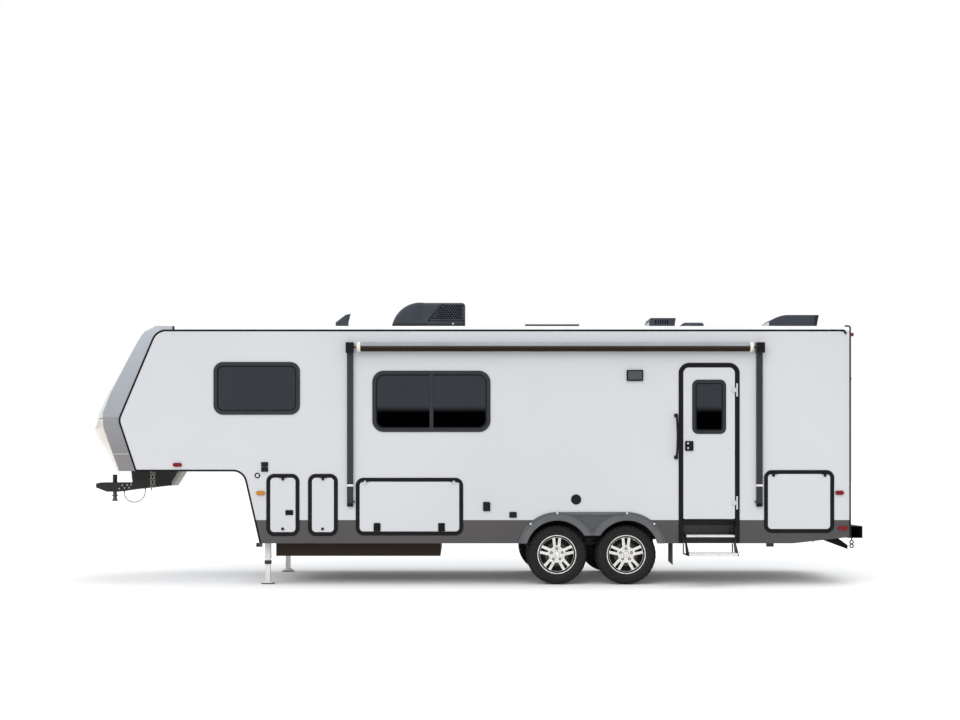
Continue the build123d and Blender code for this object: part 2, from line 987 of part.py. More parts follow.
def mud_flap():
    """A rubber sheet behind the rear wheel, cut aslant at its foot."""
    outer = half - skirt_thick - door_gap
    inside = rail_y + rail_width / 2 + door_gap
    top = wall_foot - floor_thick
    sheet = polygon((-outer, top), (-outer, flap_foot), (-inside, flap_foot + flap_slant), (-inside, top))
    return extrude(Plane.YZ.offset(flap_x) * sheet, amount=flap_thick)


# Windows, lockers and doors, drawn for the door side
def eased(solid, radius):
    """A solid on the door side with the edges of its outer face rounded."""
    return fillet(solid.faces().sort_by(Axis.Y)[0].edges(), radius)


def ring(x, z, radius, band, proud, face=-half, depth=wall):
    """A clamped frame: a flange over the skin's face and a sleeve through the hole."""
    sight = rounded(x, z, radius, band)
    flange = eased(panel(rounded(x, z, radius) - sight, (face - proud, face)), frame_edge)
    sleeve = panel(rounded(x, z, radius, frame_lap + seat_gap) - sight, (face, face + depth))
    return flange + sleeve


def window_frame(x, z, radius, split):
    frame = ring(x, z, radius, window_band, window_proud)
    if split is not None:
        face = -half - window_proud + mullion_back
        bar = block((split - mullion / 2, split + mullion / 2), (face, face + mullion_depth), z)
        sight = panel(rounded(x, z, radius, window_band), (-half - window_proud, -inner))
        frame += bar & sight
    return frame


def window_pane(x, z, radius, split):
    face = -half - glass_proud
    pane = panel(rounded(x, z, radius, window_band + seat_gap), (face, face + glass))
    if split is not None:
        reach = mullion / 2 + seat_gap
        pane -= block((split - reach, split + reach), (face, -inner), z)
    return pane


def knuckle_y():
    return -half - frame_proud - knuckle_radius - seat_gap


def knuckle(start, end, z):
    y = knuckle_y()
    return rod((start, y, z), (end, y, z), knuckle_radius)


def knuckle_spans(x):
    """The stations of a locker's hinges: one in the middle of a narrow door, or two near its corners."""
    if x[1] - x[0] < narrow_locker:
        start = (x[0] + x[1] - hinge_length) / 2
        return [(start, start + hinge_length)]
    return [
        (x[0] + hinge_inset, x[0] + hinge_inset + hinge_length),
        (x[1] - hinge_inset - hinge_length, x[1] - hinge_inset),
    ]


def locker_hinge_z(z):
    return z[1] - locker_band - door_gap / 2


def locker_frame(x, z):
    """Frame of a locker, with the fixed knuckles of its top hinge."""
    frame = ring(x, z, locker_radius, locker_band, frame_proud)
    top = locker_hinge_z(z)
    for start, end in knuckle_spans(x):
        length = (end - start - 2 * seat_gap) / 3
        for a in (start, end - length):
            root = block((a, a + length), (knuckle_y(), -half), (top, z[1] - locker_band + knuckle_lap))
            frame += knuckle(a, a + length, top) + root
    return frame


def locker_door(name):
    """A locker's leaf with the moving knuckles of its hinge, its paddle latches and its turn catch."""
    _, x0, x1, z0, z1 = lockers[name]
    x, z = (x0, x1), (z0, z1)
    face = -half - leaf_proud
    outline = rounded(x, z, locker_radius, locker_band + door_gap)
    door = eased(panel(outline, (face, face + locker_thick)), leaf_edge)
    top = locker_hinge_z(z)
    for start, end in knuckle_spans(x):
        length = (end - start - 2 * seat_gap) / 3
        a = start + length + seat_gap
        leaf = block((a, a + length), (knuckle_y(), face), (top - knuckle_leaf, top))
        door += knuckle(a, a + length, top) + leaf
    for px0, px1, pz0, pz1 in paddles[name]:
        plate = panel(rounded((px0, px1), (pz0, pz1), paddle_radius), (face - paddle_proud / 2, face))
        pad = rounded((px0, px1), (pz0, pz1), paddle_radius, paddle_pad)
        door += plate + panel(pad, (face - paddle_proud, face))
    if name in catches:
        foot = z0 + locker_band + door_gap + catch_rise
        door += panel(Pos(catches[name], foot) * Circle(catch_radius), (face - catch_proud, face))
    return door


def entry_hinge_axis():
    return entry_x[1] - entry_hinge_inset, -half - frame_proud - entry_knuckle - seat_gap


def entry_frame():
    """The door's frame: its legs run down past the sill on both sides of the step."""
    frame = ring(entry_x, (0, entry_z[1]), entry_radius, entry_band, frame_proud)
    frame -= block(entry_x, (-half - frame_proud, -inner), (0, skirt_foot))
    sill_x = (entry_x[0] + entry_band - seat_gap, entry_x[1] - entry_band + seat_gap)
    frame += block(sill_x, (-half - entry_sill_proud, -inner), (entry_z[0], entry_sill - door_gap))
    x, y = entry_hinge_axis()
    third = (entry_hinge_length - 2 * seat_gap) / 3
    for z in entry_hinge_z:
        for start in (z - entry_hinge_length / 2, z + entry_hinge_length / 2 - third):
            frame += rod((x, y, start), (x, y, start + third), entry_knuckle)
            root_x = (x - entry_knuckle, x + entry_knuckle)
            frame += block(root_x, (y, -half - frame_edge), (start, start + third))
    return frame


def entry_leaf_outline():
    gap = entry_band + door_gap
    x0, x1, top = entry_x[0] + gap, entry_x[1] - gap, entry_z[1] - gap
    leaf = polygon((x0, entry_sill), (x0, top), (x1, top), (x1, entry_sill))
    for x in (x0, x1):
        leaf = round_corner(leaf, (x, top), entry_radius - gap)
        leaf = round_corner(leaf, (x, entry_sill), entry_foot_radius)
    return leaf


def entry_door():
    x0, x1, z0, z1, radius = entry_window
    outline = entry_leaf_outline() - opening_cut((x0, x1), (z0, z1), radius)
    face = -half - leaf_proud
    door = panel(outline, (face, face + entry_thick))
    x, y = entry_hinge_axis()
    third = (entry_hinge_length - 2 * seat_gap) / 3
    front = -half - frame_proud - seat_gap
    edge = entry_x[1] - entry_band - door_gap
    for z in entry_hinge_z:
        span = (z - third / 2, z + third / 2)
        door += rod((x, y, span[0]), (x, y, span[1]), entry_knuckle)
        door += block((x - entry_strap_reach, x), (front - entry_strap_thick, front), span)
        door += block((x - entry_strap_reach, edge), (front - entry_strap_thick, face), span)
    return door


def entry_window_ring():
    x0, x1, z0, z1, radius = entry_window
    face = -half - leaf_proud
    return ring((x0, x1), (z0, z1), radius, entry_ring_band, entry_ring_proud, face, entry_thick)


def entry_pane():
    x0, x1, z0, z1, radius = entry_window
    face = -half - leaf_proud - glass / 3
    return panel(rounded((x0, x1), (z0, z1), radius, entry_ring_band + seat_gap), (face, face + glass))


def entry_latch():
    face = -half - leaf_proud
    plate = eased(panel(rounded(latch_x, latch_z, latch_radius), (face - latch_proud, face)), leaf_edge)
    grip = rounded(latch_x, latch_z, latch_radius, latch_paddle_inset)
    return plate + eased(panel(grip, (face - latch_paddle_proud, face)), leaf_edge)


def grab_handle():
    """A bowed bar on two feet."""
    y = -half - grab_stand
    mid = (grab_z[0] + grab_z[1]) / 2
    path = ThreePointArc((grab_x, y, grab_z[0]), (grab_x + grab_bow, y, mid), (grab_x, y, grab_z[1]))
    bar = sweep(Plane(origin=path @ 0, z_dir=path % 0) * Circle(grab_radius), path=path)
    for z in grab_z:
        bar += rod((grab_x, -half, z), (grab_x, y, z), grab_radius)
        bar += Pos(grab_x, y, z) * Sphere(grab_radius)
        bar += rod((grab_x, -half, z), (grab_x, -half - grab_foot_thick, z), grab_foot_radius)
    return bar


# Slide-out room
def slide_room():
    x = (slide_x[0] + slide_gap, slide_x[1] - slide_gap)
    z = (slide_z[0] + slide_gap, slide_z[1] - slide_gap)
    box = block(x, (half - slide_depth, half + slide_flange_thick), z)
    space = block(
        (x[0] + slide_wall, x[1] - slide_wall),
        (half - slide_depth, half - slide_wall),
        (z[0] + slide_wall, z[1] - slide_wall),
    )
    lip = slide_flange + slide_gap
    flange = block(
        (x[0] - lip, x[1] + lip),
        (half + seat_gap, half + slide_flange_thick),
        (z[0] - lip, z[1] + lip),
    )
    x0, x1, z0, z1, radius = slide_window
    through = (-half - slide_flange_thick, -half + slide_wall)
    hole = other_side(panel(opening_cut((x0, x1), (z0, z1), radius), through))
    return box - space + flange - hole


def slide_runners():
    """Two beams on the main floor that the slide-out room runs on."""
    top = slide_z[0] + slide_gap - seat_gap
    beams = []
    front, back = well_x()
    for x in (front - runner_clear - runner_width, back + runner_clear):
        beams.append(block((x, x + runner_width), (half - slide_depth, inner), (wall_foot, top)))
    return beams


def slide_window_ring():
    x0, x1, z0, z1, radius = slide_window
    depth = slide_flange_thick + slide_wall
    face = -half - slide_flange_thick
    return other_side(ring((x0, x1), (z0, z1), radius, window_band, window_proud, face, depth))


def slide_pane():
    x0, x1, z0, z1, radius = slide_window
    face = -half - slide_flange_thick - glass_proud
    outline = rounded((x0, x1), (z0, z1), radius, window_band + seat_gap)
    return other_side(panel(outline, (face, face + glass)))


# Awning
def awning_arm(x, inward):
    """A folded arm on the wall: a channel with a collar, a lock knob and a head for the roller."""
    head_z = (roller_z - head_drop, roller_z + head_rise)
    wide = arm_width / 2
    column = eased(block((x - wide, x + wide), (-half - arm_depth, -half), (arm_foot, roller_z)), arm_edge)
    proud = collar_proud
    collar = block((x - wide - proud, x + wide + proud), (-half - arm_depth - proud, -half), collar_z)
    head = block((x - head_width / 2, x + head_width / 2), (-half - head_depth, -half), head_z)
    head = fillet(head.edges().filter_by(Axis.X), head_edge)
    knob_z = arm_foot + knob_rise
    knob_y = -half - arm_depth / 2
    knob_x = x + inward * (wide + knob_reach)
    knob = rod((x, knob_y, knob_z), (knob_x, knob_y, knob_z), knob_radius)
    return column + collar + head + knob


def awning_roller():
    """The rolled fabric on its tube, with a domed cap on each end and a shaft into each head."""
    y = -half - roller_y
    start, end = arm_x[0] + roller_end, arm_x[1] - roller_end
    tube = rod((start + roller_cap, y, roller_z), (end - roller_cap, y, roller_z), roller_radius)
    for outer, turn in ((start, 1), (end, -1)):
        inside = outer + turn * roller_cap
        cap = rod((outer, y, roller_z), (inside, y, roller_z), roller_radius + roller_cap_proud)
        rim_edge = cap.edges().filter_by(GeomType.CIRCLE).sort_by(Axis.X)[0 if turn > 0 else -1]
        tube += fillet(rim_edge, roller_cap_edge)
    shaft = (arm_x[0] + head_width / 2, arm_x[1] - head_width / 2)
    return tube + rod((shaft[0], y, roller_z), (shaft[1], y, roller_z), roller_shaft)


# Roof equipment
def roof_base():
    return eaves + roof_edge


def on_roof(shape):
    """A roof piece with its base cut to the roof's curve."""
    return shape - under_roof(-seat_gap, (brow_x, rear_x))


def across(face, width):
    """A side outline made solid across the trailer's middle."""
    return panel(face, (-width / 2, width / 2))


def air_conditioner():
    """A shroud with a curved nose, and a sunk grille behind a slanted groove in each side."""
    x0, x1 = cooler_x
    low = roof_base()
    top = low + cooler_height
    mid_x, mid_drop = cooler_nose_mid
    nose = ThreePointArc((x0, low + cooler_wall), (x0 + mid_x, top - mid_drop), (x0 + cooler_nose, top))
    rest = Polyline(nose @ 1, (x1, top), (x1, low), (x0, low), nose @ 0)
    face = round_corner(make_face([nose, rest]), (x1, top), cooler_back_radius)
    shroud = eased(across(face, cooler_width), cooler_edge)
    shroud = other_side(eased(other_side(shroud), cooler_edge))
    foot_z, top_z = top - grille_drop[1], top - grille_drop[0]
    back = x1 - grille_inset
    front = (back - grille_width[1], back - grille_width[0])
    grille = polygon((front[0], foot_z), (front[1], top_z), (back, top_z), (back, foot_z))
    groove = polygon(
        (front[0] - groove_gap, foot_z),
        (front[1] - groove_gap, top_z),
        (front[1] - groove_gap + groove_width, top_z),
        (front[0] - groove_gap + groove_width, foot_z),
    )
    cut = panel(grille + groove, (-cooler_width / 2, -cooler_width / 2 + grille_depth))
    return on_roof(shroud - cut - other_side(cut))


def rear_vent():
    """A vent cover with a curved front and an overhanging back."""
    x0, x1 = rear_vent_x
    low = roof_base()
    top = low + rear_vent_height
    mid_x, mid_drop = rear_vent_mid
    nose = ThreePointArc((x0, low + rear_vent_wall), (x0 + mid_x, top - mid_drop), (x0 + rear_vent_nose, top))
    rest = Polyline(nose @ 1, (x1, top), (x1 - rear_vent_lean, low), (x0, low), nose @ 0)
    return on_roof(across(make_face([nose, rest]), roof_piece_width))


def fan_vent():
    """A fan cover with a row of louvre slots in each side."""
    x0, x1 = fan_vent_x
    low = roof_base()
    top = low + fan_vent_height
    face = polygon((x0, low), (x0 + fan_vent_slope, top), (x1, top), (x1 - fan_vent_lean, low))
    cover = across(face, roof_piece_width)
    pitch = (louvre_x[1] - louvre_x[0] - louvre_width) / (louvres - 1)
    for n in range(louvres):
        x = louvre_x[0] + n * pitch
        for side in (-1, 1):
            slot = block(
                (x, x + louvre_width),
                (side * roof_piece_width / 2, side * (roof_piece_width / 2 - louvre_depth)),
                (top - louvre_drop[1], top - louvre_drop[0]),
            )
            cover -= slot
    return on_roof(cover)


def dome():
    """A vent lid, arched both along and across the roof."""
    x0, x1 = dome_x
    low = roof_base()
    wide = roof_piece_width / 2
    spans = [(x0, x1), (-wide, wide)]
    faces = []
    for start, end in spans:
        arc = ThreePointArc(
            (start, low + dome_wall), ((start + end) / 2, low + dome_height), (end, low + dome_wall)
        )
        faces.append(make_face([arc, Polyline(arc @ 1, (end, low), (start, low), arc @ 0)]))
    along = across(faces[0], roof_piece_width)
    return on_roof(along & extrude(Plane.YZ.offset(x0) * faces[1], amount=x1 - x0))


def fin():
    """A swept antenna fin."""
    x0, x1 = fin_x
    low = roof_base()
    top = low + fin_height
    face = polygon((x0, low), (x1 - fin_tip, top), (x1, top), (x0 + fin_root, low))
    return on_roof(eased(across(face, fin_thick), fin_edge))


def roof_covers():
    stub_top = roof_base() + roof_crown + stub_height
    stub = on_roof(rod((stub_x, 0, roof_base()), (stub_x, 0, stub_top), stub_radius))
    return [rear_vent(), fan_vent(), dome(), fin(), stub]


def roof_skylight():
    """A lid on a narrower curb."""
    x0, x1 = skylight_x
    low = roof_base()
    top = low + skylight_height
    wide = roof_piece_width / 2
    lap = skylight_lap
    curb = block((x0 + lap, x1 - lap), (-wide + lap, wide - lap), (low, top - skylight_edge))
    lid = block((x0, x1), (-wide, wide), (top - skylight_lid, top))
    return on_roof(curb + fillet(lid.faces().sort_by(Axis.Z)[-1].edges(), skylight_edge))


# Lamps and fittings
def lamp(x, z):
    shape = rounded(x, z, (z[1] - z[0]) / 2 - seat_gap)
    return eased(panel(shape, (-half - lamp_proud, -half)), lamp_edge)


def rear_lamp(y, z, width, depth):
    lens = block((rear_x, rear_x + depth), (y - width / 2, y + width / 2), z)
    return fillet(lens.faces().sort_by(Axis.X)[-1].edges(), lamp_edge)


def red_lamp_solids():
    lenses = [on_side(side, lamp((x0, x1), (z0, z1))) for side, x0, x1, z0, z1 in red_lamps]
    depth, width, height = marker_size
    for y in (-marker_y, -marker_pitch, 0, marker_pitch, marker_y):
        lenses.append(rear_lamp(y, (marker_z, marker_z + height), width, depth))
    for side in (-1, 1):
        lenses.append(rear_lamp(side * tail_lamp_y, tail_lamp_z, tail_lamp_width, lamp_proud))
    return lenses


def wall_fittings():
    pieces = []
    for x0, x1, z0, z1, proud, inset, lid_proud in fittings:
        base = eased(panel(rounded((x0, x1), (z0, z1), fitting_radius), (-half - proud, -half)), fitting_edge)
        lid = panel(rounded((x0, x1), (z0, z1), fitting_radius, inset), (-half - proud - lid_proud, -half))
        pieces.append(base + eased(lid, fitting_edge))
    for x, z, radius, inner_radius, proud, middle_proud in ports:
        rim_face = Pos(x, z) * (Circle(radius) - Circle(inner_radius))
        flange = eased(panel(rim_face, (-half - proud, -half)), fitting_edge)
        pieces.append(flange + panel(Pos(x, z) * Circle(inner_radius), (-half - middle_proud, -half)))
    return pieces


# Pin box, legs, bumper, jacks and step
def pin_box():
    """A welded box under the overhang with a tapered arm out to the king pin's head."""
    seat = coupler_height
    arm_top = seat + pin_arm_height
    foot_z = [seat + rise for rise in pin_box_foot_rise]
    box = polygon(
        (pin_box_top_x[0], overhang),
        (pin_box_foot_x[0], foot_z[0]),
        (pin_box_foot_x[1], foot_z[1]),
        (pin_box_top_x[1], overhang),
    )
    body = panel(box, (-pin_box_half, pin_box_half))
    body -= panel(offset(box, -pin_plate), (-pin_box_half + pin_plate, pin_box_half - pin_plate))
    arm = polygon(
        (king_pin_x - pin_lip_reach, seat + pin_lip_foot),
        (king_pin_x - pin_lip_reach, arm_top - pin_plate),
        (king_pin_x - pin_lip_slope, arm_top),
        (pin_box_foot_x[0] + pin_plate, arm_top),
        (pin_box_foot_x[0] + pin_plate, foot_z[0] + pin_plate),
        (pin_box_foot_x[0], foot_z[0]),
        (king_pin_x + pin_head_half, seat),
        (king_pin_x - pin_head_half, seat),
    )
    body += panel(arm, (-pin_arm_half, pin_arm_half))
    brace = polygon(
        (pin_box_foot_x[1] - pin_plate, foot_z[1]),
        (pin_box_foot_x[1] + pin_brace_reach, foot_z[1]),
        (pin_box_top_x[1] + pin_brace_reach, overhang),
        (pin_box_top_x[1] - pin_plate, overhang),
    )
    body += panel(brace, (-pin_brace_half, pin_brace_half))
    for x, rise in (cable_route[0], cable_route[-1]):
        end = (x, cable_y, seat + rise)
        body += rod(end, (x, cable_y, seat + rise + gland_length + pin_plate), gland_radius)
    post_foot = seat + pin_lip_foot
    return body + rod((king_pin_x, 0, post_foot), (king_pin_x, 0, seat + pin_post_height), pin_post_radius)


def king_pin():
    seat, tip = coupler_height, coupler_height - pin_length
    collar = seat - pin_collar_drop
    pin = rod((king_pin_x, 0, seat), (king_pin_x, 0, tip), pin_neck_radius)
    pin += rod((king_pin_x, 0, collar), (king_pin_x, 0, collar - pin_collar), pin_collar_radius)
    return pin + rod((king_pin_x, 0, tip + pin_flange), (king_pin_x, 0, tip), pin_flange_radius)


def pin_cable():
    """The breakaway cable's loop under the pin box, hanging between its two glands."""
    points = [Vector(x, coupler_height + rise) for x, rise in cable_route]
    pieces, start = [], points[0]
    for before, corner, after in zip(points, points[1:], points[2:]):
        runs = [before - corner, after - corner]
        reach = cable_bend * min(run.length for run in runs)
        ends = [corner + run.normalized() * reach for run in runs]
        pieces.append(Line(start, ends[0]))
        pieces.append(TangentArc(ends[0], ends[1], tangent=corner - before))
        start = ends[1]
    pieces.append(Line(start, points[-1]))
    print("cable bend radii:", [round(arc.radius) for arc in pieces[1::2]])
    path = Plane.XZ.offset(-cable_y) * Wire(Wire.combine(pieces)[0].edges())
    return sweep(Plane(origin=path @ 0, z_dir=path % 0) * Circle(cable_radius), path=path)


def leg_block(reach, z):
    """A square length of a landing leg on the door side."""
    return block((leg_x - reach, leg_x + reach), (-leg_y - reach, -leg_y + reach), z)


def leg_tube_solid():
    tube = leg_block(leg_tube / 2, (leg_tube_foot, basement_floor - basement_thick))
    reach, z = leg_tube / 2 + leg_pin_reach, leg_tube_foot + leg_pin_height
    return tube + rod((leg_x - reach, -leg_y, z), (leg_x + reach, -leg_y, z), leg_pin_radius)


def leg_foot_solid():
    post = leg_block(leg_inner / 2, (leg_foot_plate, leg_tube_foot))
    collar_z = (leg_collar_foot, leg_collar_foot + leg_collar_height)
    post += leg_block(leg_tube / 2 + leg_collar_proud, collar_z)
    profile = polygon(
        (0, 0),
        (leg_foot_radius, 0),
        (leg_foot_radius, leg_foot_plate),
        (leg_neck_radius, leg_foot_height),
        (0, leg_foot_height),
    )
    return post + Pos(leg_x, -leg_y, 0) * revolve(Plane.XZ * profile, axis=Axis.Z)


def rear_bumper():
    """A square tube with a pair of tow rings hung under each end."""
    whole = block(bumper_x, (-bumper_half, bumper_half), bumper_z)
    plate = bumper_plate
    whole -= block(
        (bumper_x[0] + plate, bumper_x[1] - plate),
        (-bumper_half, bumper_half),
        (bumper_z[0] + plate, bumper_z[1] - plate),
    )
    x = bumper_x[0] + tow_ring_x
    wire, hole = tow_ring_wire, tow_ring_radius - 2 * tow_ring_wire
    for side in (-1, 1):
        y = side * (half - tow_ring_inset)
        stem = bumper_z[0] - tow_ring_drop[0] + hole
        whole += block((x - wire, x + wire), (y - wire, y + wire), (stem, bumper_z[0] + plate))
        for drop in tow_ring_drop:
            ring_face = Circle(tow_ring_radius) - Circle(hole)
            whole += panel(Pos(x, bumper_z[0] - drop) * ring_face, (y - wire, y + wire))
    return whole


def stabilizer_jack():
    """A folded stabilizer under the tail of a rail."""
    x0, x1 = jack_x
    face = polygon(
        (x0, rail_foot(x0)),
        (x0, rail_foot(x0) - jack_root),
        (x1, jack_foot),
        (x1, jack_foot + jack_tip),
        (jack_joint_x, rail_foot(jack_joint_x)),
    )
    return panel(face, (-rail_y - jack_width / 2, -rail_y + jack_width / 2))


def across_step(x, outline):
    """A step plate at a station, drawn as distance out from the trailer's middle and height."""
    face = polygon(*[(-out, z) for out, z in outline])
    return extrude(Plane.YZ.offset(x) * face, amount=step_plate)


def step_frame():
    """Side plates under the doorway, joined by a back sheet and a beam, with arms that carry both treads."""
    top = wall_foot - floor_thick
    fronts = [half + reach for reach in step_tread_front]
    upper, lower = step_tread_z
    thick = step_tread_thick
    side = [
        (step_back, top),
        (inner - door_gap, top),
        (half + step_plate, upper + step_beam),
        (fronts[0], upper),
        (fronts[0], upper - thick),
        (half - step_arm, upper - thick - step_plate),
        (step_back, step_back_foot),
    ]
    arm = [
        (fronts[0] - 3 * step_arm, upper - thick / 2),
        (fronts[0] - 2 * step_arm, upper - thick / 2),
        (fronts[1], lower),
        (fronts[1], lower - thick),
        (fronts[1] - step_tread_depth, lower - thick),
    ]
    x0, x1 = step_x
    frame = block((x0, x1), (-step_back, -step_back - step_plate), (step_back_foot, top))
    frame += block((x0, x1), (-inner + step_beam, -inner), (top - step_beam, top - step_beam / 2))
    for x in (x0, x1 - step_plate):
        frame += across_step(x, side) + across_step(x, arm)
    return frame


def step_treads():
    """Two pressed trays, open underneath."""
    treads = []
    x = (step_x[0] + step_plate, step_x[1] - step_plate)
    plate = step_tread_plate
    for front, z in zip(step_tread_front, step_tread_z):
        y = -half - front
        tray = block(x, (y, y + step_tread_depth), (z - step_tread_thick, z))
        hollow = block(
            (x[0] + plate, x[1] - plate),
            (y + plate, y + step_tread_depth - plate),
            (z - step_tread_thick, z - plate),
        )
        treads.append(tray - hollow)
    return treads


def assemble():
    """Every node's solids, by name."""
    parts = {
        "chassis_frame": [chassis_frame()],
        "floor_decks": floor_decks() + slide_runners(),
        "basement_pan": [basement_pan()],
        "axles": [axle(x) for x in axle_x],
        "leaf_springs": leaf_springs(),
        "pin_box": [pin_box()],
        "king_pin": [king_pin()],
        "pin_cable": [pin_cable()],
        "landing_leg_tubes": both_sides(leg_tube_solid()),
        "landing_leg_feet": both_sides(leg_foot_solid()),
        "rear_bumper": [rear_bumper()],
        "stabilizer_jacks": both_sides(stabilizer_jack()),
        "door_side_wall": [side_wall(-1)],
        "far_side_wall": [side_wall(1)],
        "rear_wall": [rear_wall()],
        "front_cap": [front_cap()],
        "neck_wall": [neck_wall()],
        "roof": [roof()],
        "skirts": [skirt(-1), skirt(1)],
        "fender_flares": both_sides(fender_flare()),
        "wheel_wells": both_sides(wheel_well()),
        "mud_flaps": both_sides(mud_flap()),
        "entry_door_frame": [entry_frame()],
        "grab_handle": [grab_handle()],
        "awning_arms": [awning_arm(arm_x[0], 1), awning_arm(arm_x[1], -1)],
        "awning_roller": [awning_roller()],
        "air_conditioner": [air_conditioner()],
        "roof_covers": roof_covers(),
        "roof_skylight": [roof_skylight()],
        "step_frame": [step_frame()],
        "step_treads": step_treads(),
        "entry_door_panel": [entry_door()],
        "entry_door_window_frame": [entry_window_ring()],
        "entry_door_pane": [entry_pane()],
        "entry_door_latch": [entry_latch()],
        "slide_room": [slide_room()],
        "slide_window_frame": [slide_window_ring()],
        "slide_window_pane": [slide_pane()],
        "red_lamps": red_lamp_solids(),
        "amber_lamps": both_sides(lamp(amber_lamp_x, amber_lamp_z)),
        "wall_fittings": wall_fittings(),
        "window_frames": [],
        "window_panes": [],
        "locker_frames": [],
    }
    for side, x0, x1, z0, z1, radius, split in windows:
        x, z = (x0, x1), (z0, z1)
        parts["window_frames"].append(on_side(side, window_frame(x, z, radius, split)))
        parts["window_panes"].append(on_side(side, window_pane(x, z, radius, split)))
    for name, (side, x0, x1, z0, z1) in lockers.items():
        parts["locker_frames"].append(on_side(side, locker_frame((x0, x1), (z0, z1))))
        parts[name] = [on_side(side, locker_door(name))]
    ends = {"front": axle_x[0], "rear": axle_x[1]}
    for end, x in ends.items():
        for name, side in (("door_side", -1), ("far_side", 1)):
            parts[f"tyre_{end}_{name}"] = [tyre(x, side)]
            parts[f"rim_{end}_{name}"] = [rim(x, side)]
    return parts


def main():
    os.makedirs("parts", exist_ok=True)
    to_origin = Pos(-king_pin_x, 0, -coupler_height)
    for name, shapes in assemble().items():
        solids = [solid for shape in shapes for solid in shape.solids()]
        export_step(to_origin * Compound(solids), f"parts/{name}.step")


if __name__ == "__main__":
    main()
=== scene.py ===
import math

import bmesh
import bpy
from mathutils import Matrix, Vector


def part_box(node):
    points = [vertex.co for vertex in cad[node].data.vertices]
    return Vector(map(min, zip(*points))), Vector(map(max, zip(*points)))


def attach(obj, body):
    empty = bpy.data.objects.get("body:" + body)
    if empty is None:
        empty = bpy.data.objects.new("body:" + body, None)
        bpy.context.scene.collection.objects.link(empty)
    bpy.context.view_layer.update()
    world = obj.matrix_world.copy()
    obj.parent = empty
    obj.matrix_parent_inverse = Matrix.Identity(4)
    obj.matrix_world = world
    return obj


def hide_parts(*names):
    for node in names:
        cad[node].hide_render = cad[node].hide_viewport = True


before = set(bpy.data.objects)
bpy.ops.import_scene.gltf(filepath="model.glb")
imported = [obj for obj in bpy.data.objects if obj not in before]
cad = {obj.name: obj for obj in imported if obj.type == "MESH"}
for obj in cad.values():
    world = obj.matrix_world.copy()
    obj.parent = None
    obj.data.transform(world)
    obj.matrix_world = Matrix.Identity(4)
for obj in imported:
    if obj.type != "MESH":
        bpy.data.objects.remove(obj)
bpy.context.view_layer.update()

# Studio
# The trailer stands on a pale sheet that runs to the horizon, under an even white sky and two broad soft
# lamps. The camera looks square at the entry side from 1.4 m up, 16.6 m from the near wall.
mm = 0.001
rear_station = 4669
rear_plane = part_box("rear_wall")[1].x
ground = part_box("landing_leg_feet")[0].z


def at(x, y, z):
    """A place in the frame, from a station rearwards of mid-length, a width and a height over the ground."""
    return Vector((rear_plane + (x - rear_station) * mm, y * mm, ground + z * mm))


def add(tree, kind, inputs=None, **settings):
    """A node with its settings, its inputs set to values or linked to other nodes' outputs."""
    node = tree.nodes.new(kind)
    for name, value in settings.items():
        setattr(node, name, value)
    for name, value in (inputs or {}).items():
        if isinstance(value, bpy.types.NodeSocket):
            tree.links.new(value, node.inputs[name])
        else:
            node.inputs[name].default_value = value
    return node


image_width = 960
image_height = 720
focal_pixels = 1361
axis_pixel = (455, 468)
lens_sensor = 36
camera_place = (-162, -17820, 1428)
camera_data = bpy.data.cameras.new("camera")
camera_data.sensor_width = lens_sensor
camera_data.lens = focal_pixels * lens_sensor / image_width
camera_data.shift_x = (image_width / 2 - axis_pixel[0]) / image_width
camera_data.shift_y = (axis_pixel[1] - image_height / 2) / image_width
camera = bpy.data.objects.new("camera", camera_data)
camera.location = at(*camera_place)
camera.rotation_euler = (math.radians(90), 0, 0)
bpy.context.scene.collection.objects.link(camera)
bpy.context.scene.camera = camera
bpy.context.scene.view_settings.view_transform = "Standard"

floor_half = 120000
floor_drop = 0.5
floor_corners = [(-1, -1), (1, -1), (1, 1), (-1, 1)]
floor_level = ground - floor_drop * mm
floor_points = [(x * floor_half * mm, y * floor_half * mm, floor_level) for x, y in floor_corners]
floor_mesh = bpy.data.meshes.new("floor")
floor_mesh.from_pydata(floor_points, [], [(0, 1, 2, 3)])
floor = bpy.data.objects.new("floor", floor_mesh)
bpy.context.scene.collection.objects.link(floor)

# matt paper that throws a little less light on the trailer than it shows to the eye
white = (1, 1, 1, 1)
paper_lift = 0.05
paper_shade = 0.84
paper_seen = 1.06
paper = bpy.data.materials.new("white_studio_paper")
paper.use_nodes = True
tree = paper.node_tree
rays = add(tree, "ShaderNodeLightPath").outputs
seen = add(tree, "ShaderNodeMath", {0: rays["Is Camera Ray"], 1: rays["Is Glossy Ray"]}, operation="MAXIMUM")
seen = add(tree, "ShaderNodeMath", {0: seen.outputs[0], 1: rays["Is Transmission Ray"]}, operation="MAXIMUM")
lift = add(tree, "ShaderNodeMath", {0: seen.outputs[0], 1: paper_lift}, operation="MULTIPLY")
shade = add(tree, "ShaderNodeMapRange", {0: seen.outputs[0], 3: paper_shade, 4: paper_seen})
shader = tree.nodes["Principled BSDF"]
tree.links.new(shade.outputs[0], shader.inputs["Base Color"])
shader.inputs["Roughness"].default_value = 1.0
shader.inputs["Emission Color"].default_value = white
tree.links.new(lift.outputs[0], shader.inputs["Emission Strength"])
floor_mesh.materials.append(paper)

